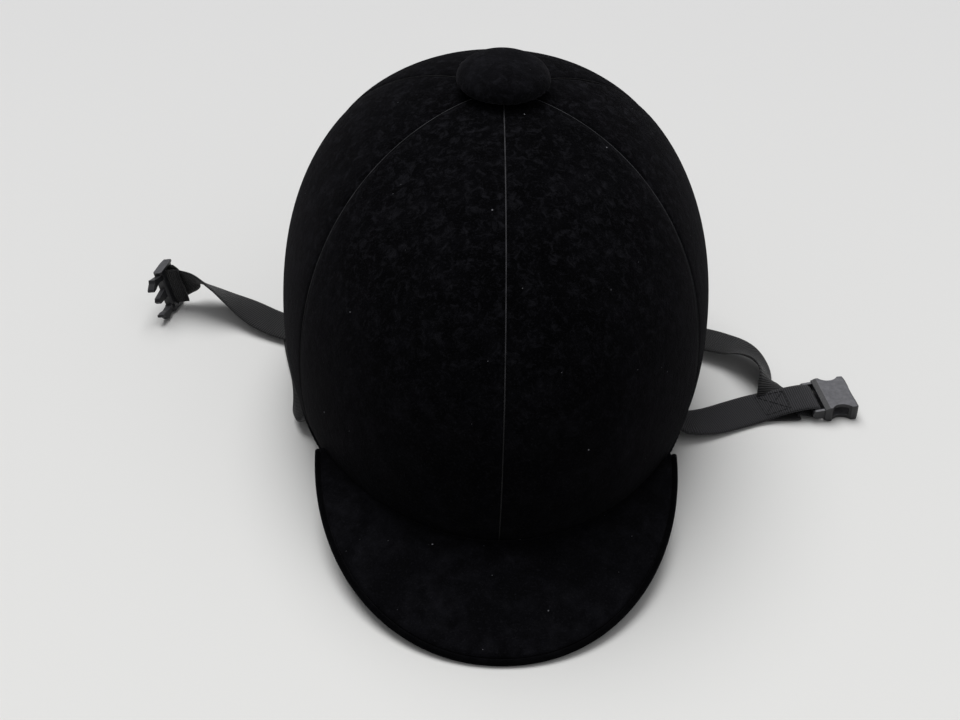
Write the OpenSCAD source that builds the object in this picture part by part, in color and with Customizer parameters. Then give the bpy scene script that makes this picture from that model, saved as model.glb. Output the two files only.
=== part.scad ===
// Velvet riding helmet with a crown button, a peak and a webbing harness.
// The peak points along -Y, the wearer's left side is +X, and the helmet stands on z = 0.

/* [Crown] */
// Half width of the velvet crown at its widest level
half_w = 103.3; // [96:0.1:110]
// Length from the crown's middle to its front
front_len = 140; // [132:0.5:146]
// Length from the crown's middle to its back
rear_len = 129; // [122:0.5:135]
// Height of the crown above the side rim
crown_h = 153.5; // [142:0.5:162]
// Height of the widest level above the side rim
widest_h = 38.4; // [30:0.1:46]
// How far back the top of the crown lies
crown_shift = 14.6; // [6:0.1:20]
// Roundness of the profile at the widest level
crown_p = 2.38; // [2:0.01:2.8]
// Roundness of the profile at the top
crown_q = 2.11; // [1.9:0.01:2.4]
// How much wider the back is than the front, as a share
egg = 0.093; // [0:0.001:0.12]
// How far the rim is drawn in below the widest level, as a share
rim_draw = 0.056; // [0.02:0.001:0.09]
// Height of the side rim above the ground
rim_h = 10; // [8:0.5:14]
// Thickness of the velvet
velvet_t = 0.9; // [0.6:0.1:1.2]
// Width of the shallow fold beside each seam
seam_w = 1.8; // [1:0.1:3]
// Depth of that fold
seam_dip = 0.5; // [0.1:0.1:0.5]
// Thickness of the hard shell
shell_t = 2.4; // [2:0.1:3]
// Height of the rim binding
binding_h = 3; // [2:0.1:4]
// How far the binding stands out past the velvet
binding_out = 0.3; // [0.1:0.1:0.8]

/* [Lining] */
// Foam thickness at the sides
foam_side = 17; // [14:0.5:20]
// Foam thickness at the front and the back
foam_end = 24; // [20:0.5:28]
// Foam thickness at the top
foam_top = 20; // [16:0.5:24]
// Thickness of the lining fabric
lining_t = 0.8; // [0.5:0.1:1.2]
// Thickness of the padded headband at the sides
band_side = 5; // [4:0.5:7]
// Thickness of the headband at the front and the back
band_end = 6; // [4:0.5:9]
// Height of the headband
band_h = 36; // [28:1:42]
// Radius of the round crown cushion
pad_r = 46; // [38:1:50]
// Thickness of the crown cushion
pad_t = 8; // [5:0.5:10]

/* [Peak] */
// Half width of the peak
peak_half_w = 84.1; // [78:0.1:88]
// Reach of the peak from the crown's middle
peak_reach = 192; // [180:0.5:200]
// Distance of the peak's corners in front of the crown's middle
corner_y = 73.1; // [66:0.1:78]
// Height of the peak's corners above the ground
corner_z = 22.2; // [20:0.1:25]
// Squareness of the peak's outline
peak_q = 2.09; // [2:0.01:2.3]
// Height of the peak's upper side where it meets the crown
root_z = 22; // [20:0.5:25]
// How far the peak bulges upward between crown and edge
peak_bulge = 3; // [0:0.5:5]
// Thickness of the peak's core at the crown
core_root = 3.2; // [2.4:0.1:4]
// Thickness of the core at the edge
core_edge = 1.1; // [0.8:0.1:1.6]
// Thickness of the fabric below the peak
peak_lining_t = 0.7; // [0.5:0.1:1]
// Radius of the piping round the peak
piping_r = 1.5; // [1.2:0.1:2]

/* [Button] */
// Radius of the covered button
button_r = 21.7; // [18:0.1:24]
// Height of the button above the crown
button_h = 11.2; // [9:0.1:13]
// Height of the button's widest level above the crown
button_mid = 3.6; // [3:0.1:5]
// Radius of the button's screw
screw_r = 2.4; // [2:0.1:3]

/* [Harness] */
// Width of the webbing
web_w = 20; // [18:0.5:20]
// Thickness of the webbing
web_t = 1.2; // [1:0.1:1.4]
// Distance of the front straps in front of the crown's middle
front_strap_y = 30; // [26:1:34]
// Distance of the rear straps behind the crown's middle
rear_strap_y = 45; // [41:1:49]
// Height of the strap anchors above the side rim
anchor_h = 25; // [22:0.5:30]
// Radius of a rivet's shank
rivet_r = 1.6; // [1.2:0.1:2]
// Radius of a rivet's head
rivet_head_r = 4.5; // [3.5:0.1:5]

/* [Buckle] */
// Half width of the socket half
socket_half_w = 12.5; // [12.5:0.1:13.5]
// Length of the socket half from its bar to its mouth
socket_len = 21.5; // [20.5:0.5:24]
// Thickness of the socket half
socket_t = 8; // [7.8:0.1:8.6]
// Radius of the bar that carries the webbing
bar_r = 1.5; // [1.3:0.1:1.7]
// Thickness of the frame round the webbing
frame_t = 5; // [4.4:0.1:5.4]
// Half width of the prong half
prong_half_w = 12; // [11.8:0.1:12.4]
// Length of a prong
prong_len = 11.5; // [10.5:0.5:12]

/* [Hidden] */

// Clearances: between layers, between soft pieces and their seats, and for what turns
skin_gap = 0.2;
seat_gap = 0.3;
run_gap = 0.08;

// The footprint's middle, so that the origin lies under the middle of the whole helmet
mid_y = (rear_len - peak_reach) / 2;
rear_dip = rim_h;
dip_start = 0.45;
dip_full = 0.85;

// Layers as insets from the velvet's outside: at the sides, at the ends and at the top
all = [1, 1, 1];
shell_out = (velvet_t + skin_gap) * all;
shell_in = shell_out + shell_t * all;
foam_out = shell_in + skin_gap * all;
foam_in = foam_out + [foam_side, foam_end, foam_top];
lining_out = foam_in + skin_gap * all;
lining_in = lining_out + lining_t * all;
band_out = lining_in + seat_gap * all;
band_in = band_out + [band_side, band_end, 0];

// Grid of the crown: columns round it, rows up it
cols = 48;
low_rows = 3;
up_rows = 8;
rows = low_rows + up_rows;
gore_cols = cols / 6;
column_w = 2 * PI * half_w / cols;
velvet_hole_r = 8;

function mix(a, b, f) = a + (b - a) * f;
function smooth(f) = let(g = min(1, max(0, f))) g * g * (3 - 2 * g);
function unit(v) = v / norm(v);
function col_angle(i) = -90 + 360 * i / cols;
function rim_z(th) = -rear_dip * smooth((sin(th) - dip_start) / (dip_full - dip_start));

// Share of the full width at a height above the side rim
function level(z, h) = z < widest_h
    ? 1 - rim_draw * pow((widest_h - z) / widest_h, 2)
    : pow(max(0, 1 - pow((z - widest_h) / (h - widest_h), crown_p)), 1 / crown_q);

// A point on the crown: angle round it, height above the side rim, insets
function crown_pt(th, z, inset) =
    let(h = crown_h - inset[2])
    let(k = level(z, h))
    let(len = (sin(th) < 0 ? front_len : rear_len) - inset[1])
    let(back = crown_shift * pow(max(0, z - widest_h) / (h - widest_h), 1.5))
    [(half_w - inset[0]) * (1 + egg * sin(th)) * cos(th) * k, len * sin(th) * k + back - mid_y, z + rim_h];

function row_z(j, th, low, inset) = j < low_rows
    ? mix(rim_z(th) + low, widest_h, j / low_rows)
    : widest_h + (crown_h - inset[2] - widest_h) * sin(90 * (j - low_rows) / up_rows);

function grid_pt(i, j, low, inset) =
    let(th = col_angle(i))
    crown_pt(th, row_z(j, th, low, inset), inset);

// The same point for a column between two whole ones, on the flat between them
function facet_pt(i, j, low, inset) =
    mix(grid_pt(floor(i), j, low, inset), grid_pt(floor(i) + 1, j, low, inset), i - floor(i));

function pole(inset) = [0, crown_shift - mid_y, crown_h - inset[2] + rim_h];
function quad(a, b, c, d) = [[a, b, c], [a, c, d]];
function flat_list(rows_of) = [for (r = rows_of) each r];

// Closed bowl between an outer and an inner grid that both run round the crown
module bowl(outer, inner, outer_top, inner_top) {
    n = len(outer[0]);
    m = len(outer);
    k = len(inner);
    base = n * m;
    top_a = base + n * k;
    top_b = top_a + 1;
    points = concat(flat_list(outer), flat_list(inner), [outer_top, inner_top]);
    faces = [
        for (r = [0 : m - 2]) for (c = [0 : n - 1])
            each quad(r * n + c, (r + 1) * n + c, (r + 1) * n + (c + 1) % n, r * n + (c + 1) % n),
        for (r = [0 : k - 2]) for (c = [0 : n - 1])
            each quad(base + r * n + c, base + r * n + (c + 1) % n,
                base + (r + 1) * n + (c + 1) % n, base + (r + 1) * n + c),
        for (c = [0 : n - 1]) each quad(c, (c + 1) % n, base + (c + 1) % n, base + c),
        for (c = [0 : n - 1]) [(m - 1) * n + c, top_a, (m - 1) * n + (c + 1) % n],
        for (c = [0 : n - 1]) [base + (k - 1) * n + (c + 1) % n, top_b, base + (k - 1) * n + c]
    ];
    polyhedron(points, faces);
}

// Closed panel between two grids of the same size, with walls round its four sides
module panel(outer, inner) {
    m = len(outer);
    n = len(outer[0]);
    base = n * m;
    faces = [
        for (r = [0 : m - 2]) for (c = [0 : n - 2]) each concat(
            quad(r * n + c, (r + 1) * n + c, (r + 1) * n + c + 1, r * n + c + 1),
            quad(base + r * n + c, base + r * n + c + 1, base + (r + 1) * n + c + 1, base + (r + 1) * n + c)),
        for (c = [0 : n - 2]) each concat(
            quad(c, c + 1, base + c + 1, base + c),
            quad((m - 1) * n + c + 1, (m - 1) * n + c, base + (m - 1) * n + c, base + (m - 1) * n + c + 1)),
        for (r = [0 : m - 2]) each concat(
            quad((r + 1) * n, r * n, base + r * n, base + (r + 1) * n),
            quad((r + 1) * n - 1, (r + 2) * n - 1, base + (r + 2) * n - 1, base + (r + 1) * n - 1))
    ];
    polyhedron(concat(flat_list(outer), flat_list(inner)), faces);
}

// Solid swept through rings of points, seen anticlockwise along the way
module sweep(rings, closed = false) {
    n = len(rings[0]);
    m = len(rings);
    last = closed ? m - 1 : m - 2;
    faces = [
        for (r = [0 : last]) for (c = [0 : n - 1])
            each quad(r * n + c, r * n + (c + 1) % n, ((r + 1) % m) * n + (c + 1) % n, ((r + 1) % m) * n + c),
        if (!closed) [for (c = [n - 1 : -1 : 0]) c],
        if (!closed) [for (c = [0 : n - 1]) (m - 1) * n + c]
    ];
    polyhedron(flat_list(rings), faces);
}

// Smooth way through stations, each with any number of values
function curve(a, b, c, d, f) =
    0.5 * (2 * b + (c - a) * f + (2 * a - 5 * b + 4 * c - d) * f * f + (3 * b - a - 3 * c + d) * f * f * f);
function route(st, steps) =
    let(n = len(st))
    [for (i = [0 : n - 2]) for (s = [0 : steps - 1])
        curve(st[max(i - 1, 0)], st[i], st[i + 1], st[min(i + 2, n - 1)], s / steps), st[n - 1]];
function place(v) = [v[0], v[1], v[2]];

// Flat webbing through stations [x, y, z, roll, skew]; ref points to its upper side
module ribbon(st, steps = 3, ref = [0, 0, 1]) {
    way = route(st, steps);
    last = len(way) - 1;
    rings = [
        for (i = [0 : last])
            let(t = unit(place(way[min(i + 1, last)]) - place(way[max(i - 1, 0)])))
            let(side = unit(cross(ref, t)))
            let(up = cross(t, side))
            let(rolled = side * cos(way[i][3]) + up * sin(way[i][3]))
            let(normal = cross(t, rolled))
            let(across = (rolled * cos(way[i][4]) + t * sin(way[i][4])) * web_w / 2)
            let(thick = normal * web_t / 2)
            [for (q = [[-1, -1], [-1, 1], [1, 1], [1, -1]]) place(way[i]) + across * q[0] + thick * q[1]]
    ];
    sweep(rings);
}

// Anchors: where a tab is riveted to the shell's inside
function strap_angle(y) = y < 0
    ? asin(y / ((front_len - shell_out[1]) * level(anchor_h, crown_h)))
    : asin(y / ((rear_len - shell_out[1]) * level(anchor_h, crown_h)));
function facing(th, side) =
    let(len = th < 0 ? front_len : rear_len)
    atan2(half_w * (sin(th) * (1 + egg * sin(th)) - egg * pow(cos(th), 2)), side * len * cos(th));
anchors = [
    for (side = [1, -1]) for (y = [-front_strap_y, rear_strap_y]) [side, y, strap_angle(y)]
];
function anchor_pt(a, inset) =
    let(p = crown_pt(a[2], anchor_h, inset))
    [a[0] * p[0], p[1], p[2]];
module at_anchor(a) translate(anchor_pt(a, shell_out)) rotate([0, 0, facing(a[2], a[0])]) rotate([0, 90, 0])
    children();

tab_bow = 0.9;
tab_inset = shell_in + (seat_gap + tab_bow + web_t / 2) * all;
washer_t = 0.8;
washer_r = 4;
rivet_head_t = 0.8;
rivet_sink = 0.7;
head_bore_r = rivet_head_r + seat_gap;
head_bore_depth = rivet_sink + rivet_head_t + run_gap;
washer_depth = shell_t + 3 * seat_gap + tab_bow + web_t;
rivet_end = washer_depth + washer_t + skin_gap;

// Harness swing: the line about which each side's straps swing at the rim's inner edge
swing_x = crown_pt(0, -2, tab_inset)[0] - 1.4;
swing_z = 7;
tab_end_gap = 1.2;
strap_start = 0.35;

// Buckle places on the ground beside the helmet
socket_pos = [159.3, -9.8 - mid_y, socket_t / 2];
socket_yaw = 9;
bar_gap = 0.35;
sewn_extra = 0.2;
loop_in = bar_r + bar_gap;
loop_out = loop_in + web_t + sewn_extra;
loop_mid = (loop_in + loop_out) / 2;
rail_t = 1.6;
rail_in = web_w / 2 + seat_gap;

ladder_yaw = -105;
ladder_roll = 106;
ladder_z = prong_half_w * sin(ladder_roll) - frame_t / 2 * cos(ladder_roll);
ladder_pos = [-170, 72.6 - mid_y, ladder_z];
ladder_fwd = [cos(ladder_yaw), sin(ladder_yaw), 0];
ladder_side = [-sin(ladder_yaw), cos(ladder_yaw), 0];
ladder_bar = ladder_side * cos(ladder_roll) + [0, 0, 1] * sin(ladder_roll);
ladder_up = cross(ladder_fwd, ladder_bar);
leg_len = 8;
rear_bar_x = -5.2;
base_x = 4.6;
base_end = 8.6;
prong_root_y = 8.8;
prong_root_r = 1.5;
prong_t = 3.6;

velvet_colour = "#141418";
web_colour = "#1b1b1d";
plastic_colour = "#2a2a2d";

module shell() color("#26262a") difference() {
    bowl(
        [for (j = [0 : rows - 1]) [for (i = [0 : cols - 1]) grid_pt(i, j, binding_h + skin_gap, shell_out)]],
        [for (j = [0 : rows - 1]) [for (i = [0 : cols - 1]) grid_pt(i, j, binding_h + skin_gap, shell_in)]],
        pole(shell_out), pole(shell_in));
    translate([0, crown_shift - mid_y, crown_h])
        cylinder(h = 2 * rim_h, r = screw_r + run_gap, center = true, $fn = 48);
    for (a = anchors) at_anchor(a) {
        translate([0, 0, -2 * shell_t]) cylinder(h = 4 * shell_t, r = rivet_r + run_gap, $fn = 32);
        translate([0, 0, -head_bore_depth]) cylinder(h = 2 * shell_t, r = head_bore_r, $fn = 48);
    }
}

// One of the six velvet gores: first column, insets thinned beside the seams
module gore(first) {
    fold = seam_w / column_w;
    slit = skin_gap / 2 / column_w;
    at = concat([slit, fold], [for (i = [1 : gore_cols - 1]) i], [gore_cols - fold, gore_cols - slit]);
    out = function (n) (n == 0 || n == len(at) - 1 ? seam_dip : 0) * all;
    low = binding_h + skin_gap;
    share = velvet_hole_r / norm(facet_pt(first, rows - 1, low, 0 * all) - pole(0 * all));
    function line(j, inset) = [
        for (n = [0 : len(at) - 1])
            let(set = inset == undef ? out(n) : inset)
            j < rows ? facet_pt(first + at[n], j, low, set)
                : mix(pole(set), facet_pt(first + at[n], rows - 1, low, set), share)
    ];
    panel([for (j = [0 : rows]) line(j)], [for (j = [0 : rows]) line(j, velvet_t * all)]);
}
module gore_front_left() color(velvet_colour) gore(0);
module gore_side_left() color(velvet_colour) gore(gore_cols);
module gore_rear_left() color(velvet_colour) gore(2 * gore_cols);
module gore_rear_right() color(velvet_colour) gore(3 * gore_cols);
module gore_side_right() color(velvet_colour) gore(4 * gore_cols);
module gore_front_right() color(velvet_colour) gore(5 * gore_cols);

// Button: half profile of a flattened ball from its foot to its top, for a given inset
button_foot_r = 14;
button_steps = 7;
boss_r = 6;
function button_profile(inset, foot) = concat(
    [for (s = [0 : 3]) let(a = -90 + 30 * s)
        [mix(foot, button_r - inset, cos(a)), button_mid + (button_mid - inset) * sin(a)]],
    [for (s = [1 : button_steps]) let(a = 90 * s / button_steps)
        [(button_r - inset) * pow(cos(a), 0.9), button_mid + (button_h - button_mid - inset) * pow(sin(a), 0.95)]]);
module at_button() translate([0, crown_shift - mid_y, crown_h + rim_h + seat_gap]) children();

module button_velvet() color(velvet_colour) at_button() difference() {
    rotate_extrude($fn = 72) polygon(concat([[0, 0]], button_profile(0, button_foot_r)));
    rotate_extrude($fn = 72)
        polygon(concat([[0, -1], [button_foot_r - 2, -1]], button_profile(velvet_t, button_foot_r - 2)));
}

module button_core() color(plastic_colour) at_button() difference() {
    union() {
        rotate_extrude($fn = 72)
            polygon(concat([[0, velvet_t + skin_gap]], button_profile(velvet_t + skin_gap, button_foot_r - 3)));
        translate([0, 0, -velvet_t - seat_gap]) cylinder(h = velvet_t + button_mid, r = boss_r, $fn = 48);
    }
    translate([0, 0, -rim_h]) cylinder(h = rim_h + button_h / 2 + seat_gap, r = screw_r + run_gap, $fn = 48);
}

crown_fall = 0.6;
washer_top = crown_h + rim_h - shell_in[2] - seat_gap - crown_fall;
crown_washer_t = 1.2;
module button_washer() color("#b0b0b4") translate([0, crown_shift - mid_y, washer_top - crown_washer_t])
    difference() {
        cylinder(h = crown_washer_t, r = 7, $fn = 48);
        translate([0, 0, -1]) cylinder(h = crown_washer_t + 2, r = screw_r + run_gap, $fn = 48);
    }

module button_screw() color("#b0b0b4") {
    head_h = 2.4;
    head_top = washer_top - crown_washer_t - run_gap;
    translate([0, crown_shift - mid_y, head_top - head_h]) difference() {
        union() {
            cylinder(h = head_h, r = 2 * screw_r, $fn = 48);
            cylinder(h = crown_h + rim_h + button_h / 2 - head_top + head_h, r = screw_r, $fn = 48);
        }
        translate([0, 0, -1]) cylinder(h = head_h / 2 + 1, r = screw_r, $fn = 6);
    }
}

// Peak: angle t runs from its right corner over the tip to its left corner
peak_span = 88;
root_half = 58;
peak_steps = 24;
peak_rows = 4;
tip_z = piping_r * sin(60);
edge_h = piping_r * sin(60);
function edge_pt(t) =
    let(d = pow(abs(cos(t)), 2 / peak_q))
    let(w = sign(sin(t)) * pow(abs(sin(t)), 2 / peak_q))
    [(peak_half_w - piping_r) * w, mix(-corner_y, piping_r - peak_reach, d) - mid_y, mix(corner_z, tip_z, d)];
function edge_out(t) =
    let(along = edge_pt(t + 0.5) - edge_pt(t - 0.5))
    unit([along[1], -along[0], 0]);
// Depths of the peak's layers below its upper side, at the crown and at the edge
core_top = [velvet_t + skin_gap / 2, velvet_t - skin_gap];
core_low = core_top + [core_root, core_edge];
cloth_top = core_low + skin_gap / 2 * [1, 1];
cloth_low = cloth_top + peak_lining_t * [1, 1];
function peak_pt(t, v, depth) =
    let(root = crown_pt(-90 + root_half * t / 90, root_z - depth[0] - rim_h, -seat_gap * all))
    let(rim = edge_pt(t))
    let(edge = rim - edge_out(t) * (piping_r + skin_gap))
    let(upper = mix(root_z, rim[2] + edge_h, v) + peak_bulge * 4 * v * (1 - v) * cos(t))
    [mix(root[0], edge[0], v), mix(root[1], edge[1], v), upper - mix(depth[0], depth[1], v)];
function peak_grid(depth) = [
    for (r = [0 : peak_rows]) [
        for (c = [0 : peak_steps])
            peak_pt(-peak_span + 2 * peak_span * c / peak_steps, 1 - r / peak_rows, depth)
    ]
];
module peak_velvet() color(velvet_colour) panel(peak_grid([0, 0]), peak_grid([velvet_t, velvet_t - 1.5 * skin_gap]));
module peak_core() color("#303034") panel(peak_grid(core_top), peak_grid(core_low));
module peak_lining() color("#101013") panel(peak_grid(cloth_top), peak_grid(cloth_low));
module peak_piping() color(velvet_colour) sweep([
    for (c = [0 : peak_steps])
        let(t = -peak_span + 2 * peak_span * c / peak_steps)
        [for (q = [0 : 60 : 300]) edge_pt(t) + piping_r * (edge_out(t) * cos(q) + [0, 0, 1] * sin(q))]
]);

// Binding: a soft strip with a flat foot under the edges of the velvet and the shell
module rim_binding() color(velvet_colour) {
    inner = shell_in[0];
    round_in = 0.8;
    section = [
        [round_in - binding_out, 0], [-binding_out, 0.3 * binding_h], [-binding_out, binding_h],
        [inner, binding_h], [inner, 0.3 * binding_h], [inner - round_in, 0]
    ];
    sweep([
        for (i = [0 : cols - 1])
            let(th = col_angle(i))
            [for (q = section) crown_pt(th, rim_z(th) + q[1], q[0] * all)]
    ], closed = true);
}

hem_gap = tab_inset[0] + web_t / 2 + seat_gap;
foam_low = binding_h + lining_t + 2 * skin_gap;
pocket_depth = 6.6;
module foam_liner() color("#e8e8e6") difference() {
    bowl(
        [for (j = [0 : rows - 1]) [for (i = [0 : cols - 1]) grid_pt(i, j, foam_low, foam_out)]],
        [for (j = [0 : rows - 1]) [for (i = [0 : cols - 1]) grid_pt(i, j, foam_low, foam_in)]],
        pole(foam_out), pole(foam_in));
    translate([0, crown_shift - mid_y, crown_h + rim_h - foam_out[2] - 6])
        cylinder(h = 2 * rim_h, r = 9, $fn = 48);
    for (a = anchors) at_anchor(a)
        translate([-anchor_h / 2, -web_w / 2 - 2, -shell_t - skin_gap - pocket_depth])
            cube([2 * anchor_h, web_w + 4, pocket_depth + shell_t]);
}

// Lining: covers the foam's inside and turns out under its lower edge
module lining() color("#1c1c20") {
    low = binding_h + skin_gap;
    bowl(
        concat(
            [[for (i = [0 : cols - 1]) grid_pt(i, 0, low + lining_t, hem_gap * all)]],
            [for (j = [0 : rows - 1]) [for (i = [0 : cols - 1]) grid_pt(i, j, low + lining_t, lining_out)]]),
        concat(
            [[for (i = [0 : cols - 1]) grid_pt(i, 0, low, hem_gap * all)]],
            [for (j = [0 : rows - 1]) [for (i = [0 : cols - 1]) grid_pt(i, j, low, lining_in)]]),
        pole(lining_out), pole(lining_in));
}

// Headband: a soft band that swells inward between its sewn edges
module headband() color("#17171a") {
    foot = binding_h + 1;
    swell = [
        [0, 0.02], [0.25, 0], [0.75, 0.08], [1, 0.3],
        [1, 0.6], [0.75, 0.9], [0.25, 1], [0, 0.98]
    ];
    ring = [for (n = [len(swell) - 1 : -1 : 0]) swell[n]];
    sweep([
        for (i = [0 : cols - 1])
            let(th = col_angle(i))
            [for (q = ring) crown_pt(th, mix(rim_z(th) + foot, foot + band_h, q[1]), mix(band_out, band_in, q[0]))]
    ], closed = true);
}

// Crown cushion: domed disc with four sewn channels
module crown_cushion() {
    spokes = 32;
    rings_n = 6;
    top = lining_in + seat_gap * all;
    y0 = crown_shift - mid_y;
    function roof(x, y) = let(u = min(1, norm([x / (half_w - top[0]), (y - y0) / (rear_len - top[1])])))
        rim_h + widest_h + (crown_h - top[2] - widest_h) * pow(1 - pow(u, crown_q), 1 / crown_p);
    function spot(r, a) = [r * cos(a), r * sin(a) + y0];
    function high(r, a) = let(p = spot(r, a)) [p[0], p[1], roof(p[0], p[1]) - 1.5];
    function low(r, a) =
        let(edge = pow(1 - pow(r / pad_r, 4), 0.5))
        let(channel = 1 - 0.45 * pow(abs(cos(2 * a)), 12) * smooth(3 * r / pad_r))
        high(r, a) - [0, 0, 1 + (pad_t - 1) * edge * channel];
    color("#17171a") bowl(
        [for (n = [rings_n : -1 : 1]) [for (s = [0 : spokes - 1]) high(pad_r * n / rings_n, 360 * s / spokes)]],
        [for (n = [rings_n : -1 : 1]) [for (s = [0 : spokes - 1]) low(pad_r * n / rings_n, 360 * s / spokes)]],
        high(0, 0), low(0, 0));
}

module strap_rivets() color("#9a9a9e") for (a = anchors) at_anchor(a) {
    translate([0, 0, -rivet_sink - rivet_head_t]) cylinder(h = rivet_head_t, r = rivet_head_r, $fn = 48);
    translate([0, 0, -rivet_end]) cylinder(h = rivet_end - rivet_sink - rivet_head_t / 2, r = rivet_r, $fn = 32);
    translate([0, 0, -rivet_end - 0.8]) cylinder(h = 0.8, r = 1.7 * rivet_r, $fn = 32);
}

module rivet_washers() color("#9a9a9e") for (a = anchors) at_anchor(a)
    translate([0, 0, -washer_depth - washer_t]) difference() {
        cylinder(h = washer_t, r = washer_r, $fn = 48);
        translate([0, 0, -1]) cylinder(h = washer_t + 2, r = rivet_r + run_gap, $fn = 32);
    }

// Tab: from above its rivet down the shell's inside to the swing line
function tab_spot(a, z) =
    let(p = crown_pt(a[2], z, tab_inset))
    [a[0] * p[0], p[1], p[2], -a[0] * facing(a[2], 1), 0];
module tab(a) color(web_colour) difference() {
    end = tab_spot(a, 0);
    ribbon(concat(
        [for (z = [anchor_h + 9, anchor_h, 16, 7, 1]) tab_spot(a, z)],
        [[a[0] * swing_x, end[1], swing_z + tab_end_gap, end[3], 0]]), 2, [a[0], 0, 0]);
    at_anchor(a) translate([0, 0, -4 * shell_t]) cylinder(h = 8 * shell_t, r = rivet_r + run_gap, $fn = 32);
}
module front_tab_left() tab(anchors[0]);
module rear_tab_left() tab(anchors[1]);
module front_tab_right() tab(anchors[2]);
module rear_tab_right() tab(anchors[3]);

module at_socket() translate(socket_pos) rotate([0, 0, socket_yaw]) children();
module at_ladder() translate(ladder_pos) rotate([ladder_roll, 0, ladder_yaw]) children();
function socket_spot(x, z) = let(a = socket_yaw)
    [socket_pos[0] + x * cos(a), socket_pos[1] + x * sin(a), socket_pos[2] + z];
function ladder_spot(x, z) = ladder_pos + ladder_fwd * x + ladder_up * z;

// Turn of webbing round a bar at the origin: half ring towards +Y, legs of given lengths towards -Y
module turn(leg_a, leg_b) {
    intersection() {
        difference() {
            circle(r = loop_out, $fn = 48);
            circle(r = loop_in, $fn = 48);
        }
        translate([-2 * loop_out, 0]) square([4 * loop_out, 2 * loop_out]);
    }
    translate([-loop_out, -leg_a]) square([web_t + sewn_extra, leg_a + 0.01]);
    translate([loop_in, -leg_b]) square([web_t + sewn_extra, leg_b + 0.01]);
}

// Left straps: stations [x, y, z, roll, skew], with y from the crown's middle
function shift(st) = [for (p = st) [p[0], p[1] - mid_y, p[2], p[3], p[4]]];
function flat_end(p, roll) = [p[0], p[1], p[2], roll, 0];
front_left_way = [
    [swing_x + strap_start, -front_strap_y, swing_z, 0, 0],
    [96.5, -29.5, 4.8, 0, 0],
    [108.5, -25.5, 2.6, 3, 0],
    [121, -19.5, 2.2, 5, 0],
    [130, -15.6, 2.4, 5, 0],
    [139.2, -12.9, 3.6, 2, 0],
    [148.3, -11.5, 5.6, 0, 0]
];
rear_left_way = [
    [swing_x + strap_start, rear_strap_y, swing_z, 0, 0],
    [97.5, 44, 5.4, 2, 0],
    [109.3, 40, 5.4, 6, 0],
    [118.5, 33.3, 6.6, 10, 0],
    [126.5, 25.6, 8.8, 22, 0],
    [132.5, 16.9, 10.6, 48, 0],
    [136, 8.6, 11.2, 72, 0],
    [138.4, 0.7, 11.2, 52, 0],
    [142, -6.2, 9, 17, 0],
    [146.5, -13, 7.8, 2, 0]
];
module front_strap_left() color(web_colour) {
    ribbon(concat(shift(front_left_way),
        [flat_end(socket_spot(-4, loop_mid), 0), flat_end(socket_spot(-0.6, loop_mid), 0)]));
    at_socket() rotate([90, 0, 0]) linear_extrude(web_w + sewn_extra, center = true) rotate(-90) turn(7, 1.5);
}
module rear_strap_left() color(web_colour) ribbon(shift(rear_left_way));

// Right straps: the front strap is sewn under the chin strap beside the rim
front_right_way = [
    [-swing_x - strap_start, -front_strap_y, swing_z, 0, -54],
    [-95, -24.5, 6.6, 18, -28],
    [-98.6, -15, 7.6, 44, -6],
    [-99.6, -3, 9.2, 60, 0],
    [-99.8, 9, 9.6, 64, 0],
    [-99.6, 19, 8.6, 54, 0],
    [-98.9, 26, 5.5, 26, 0],
    [-98.4, 32, 1.7, 4, 0],
    [-98.2, 41.5, 1, 0, 0]
];
chin_right_way = [
    [-swing_x - strap_start, rear_strap_y, swing_z, 0, 0],
    [-96, 45, 4, 0, 0],
    [-104.8, 46.2, 3.3, -2, 0],
    [-117.3, 52.6, 4, 0, 0],
    [-129, 60.6, 6, 10, 0],
    [-140.3, 66.1, 9.8, 28, 0],
    [-149.2, 69.3, 13.6, 56, 0]
];
module front_strap_right() color(web_colour) ribbon(shift(front_right_way));
module chin_strap_right() color(web_colour) {
    ribbon(concat(shift(chin_right_way), [
        flat_end(ladder_spot(-loop_mid, -leg_len - 6), 80),
        flat_end(ladder_spot(-loop_mid, -leg_len), 90),
        flat_end(ladder_spot(-loop_mid, -leg_len / 2), 90)
    ]));
    at_ladder() rotate([90, 0, 0]) linear_extrude(web_w + sewn_extra, center = true)
        turn(leg_len - 1, leg_len + 6);
}

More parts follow.
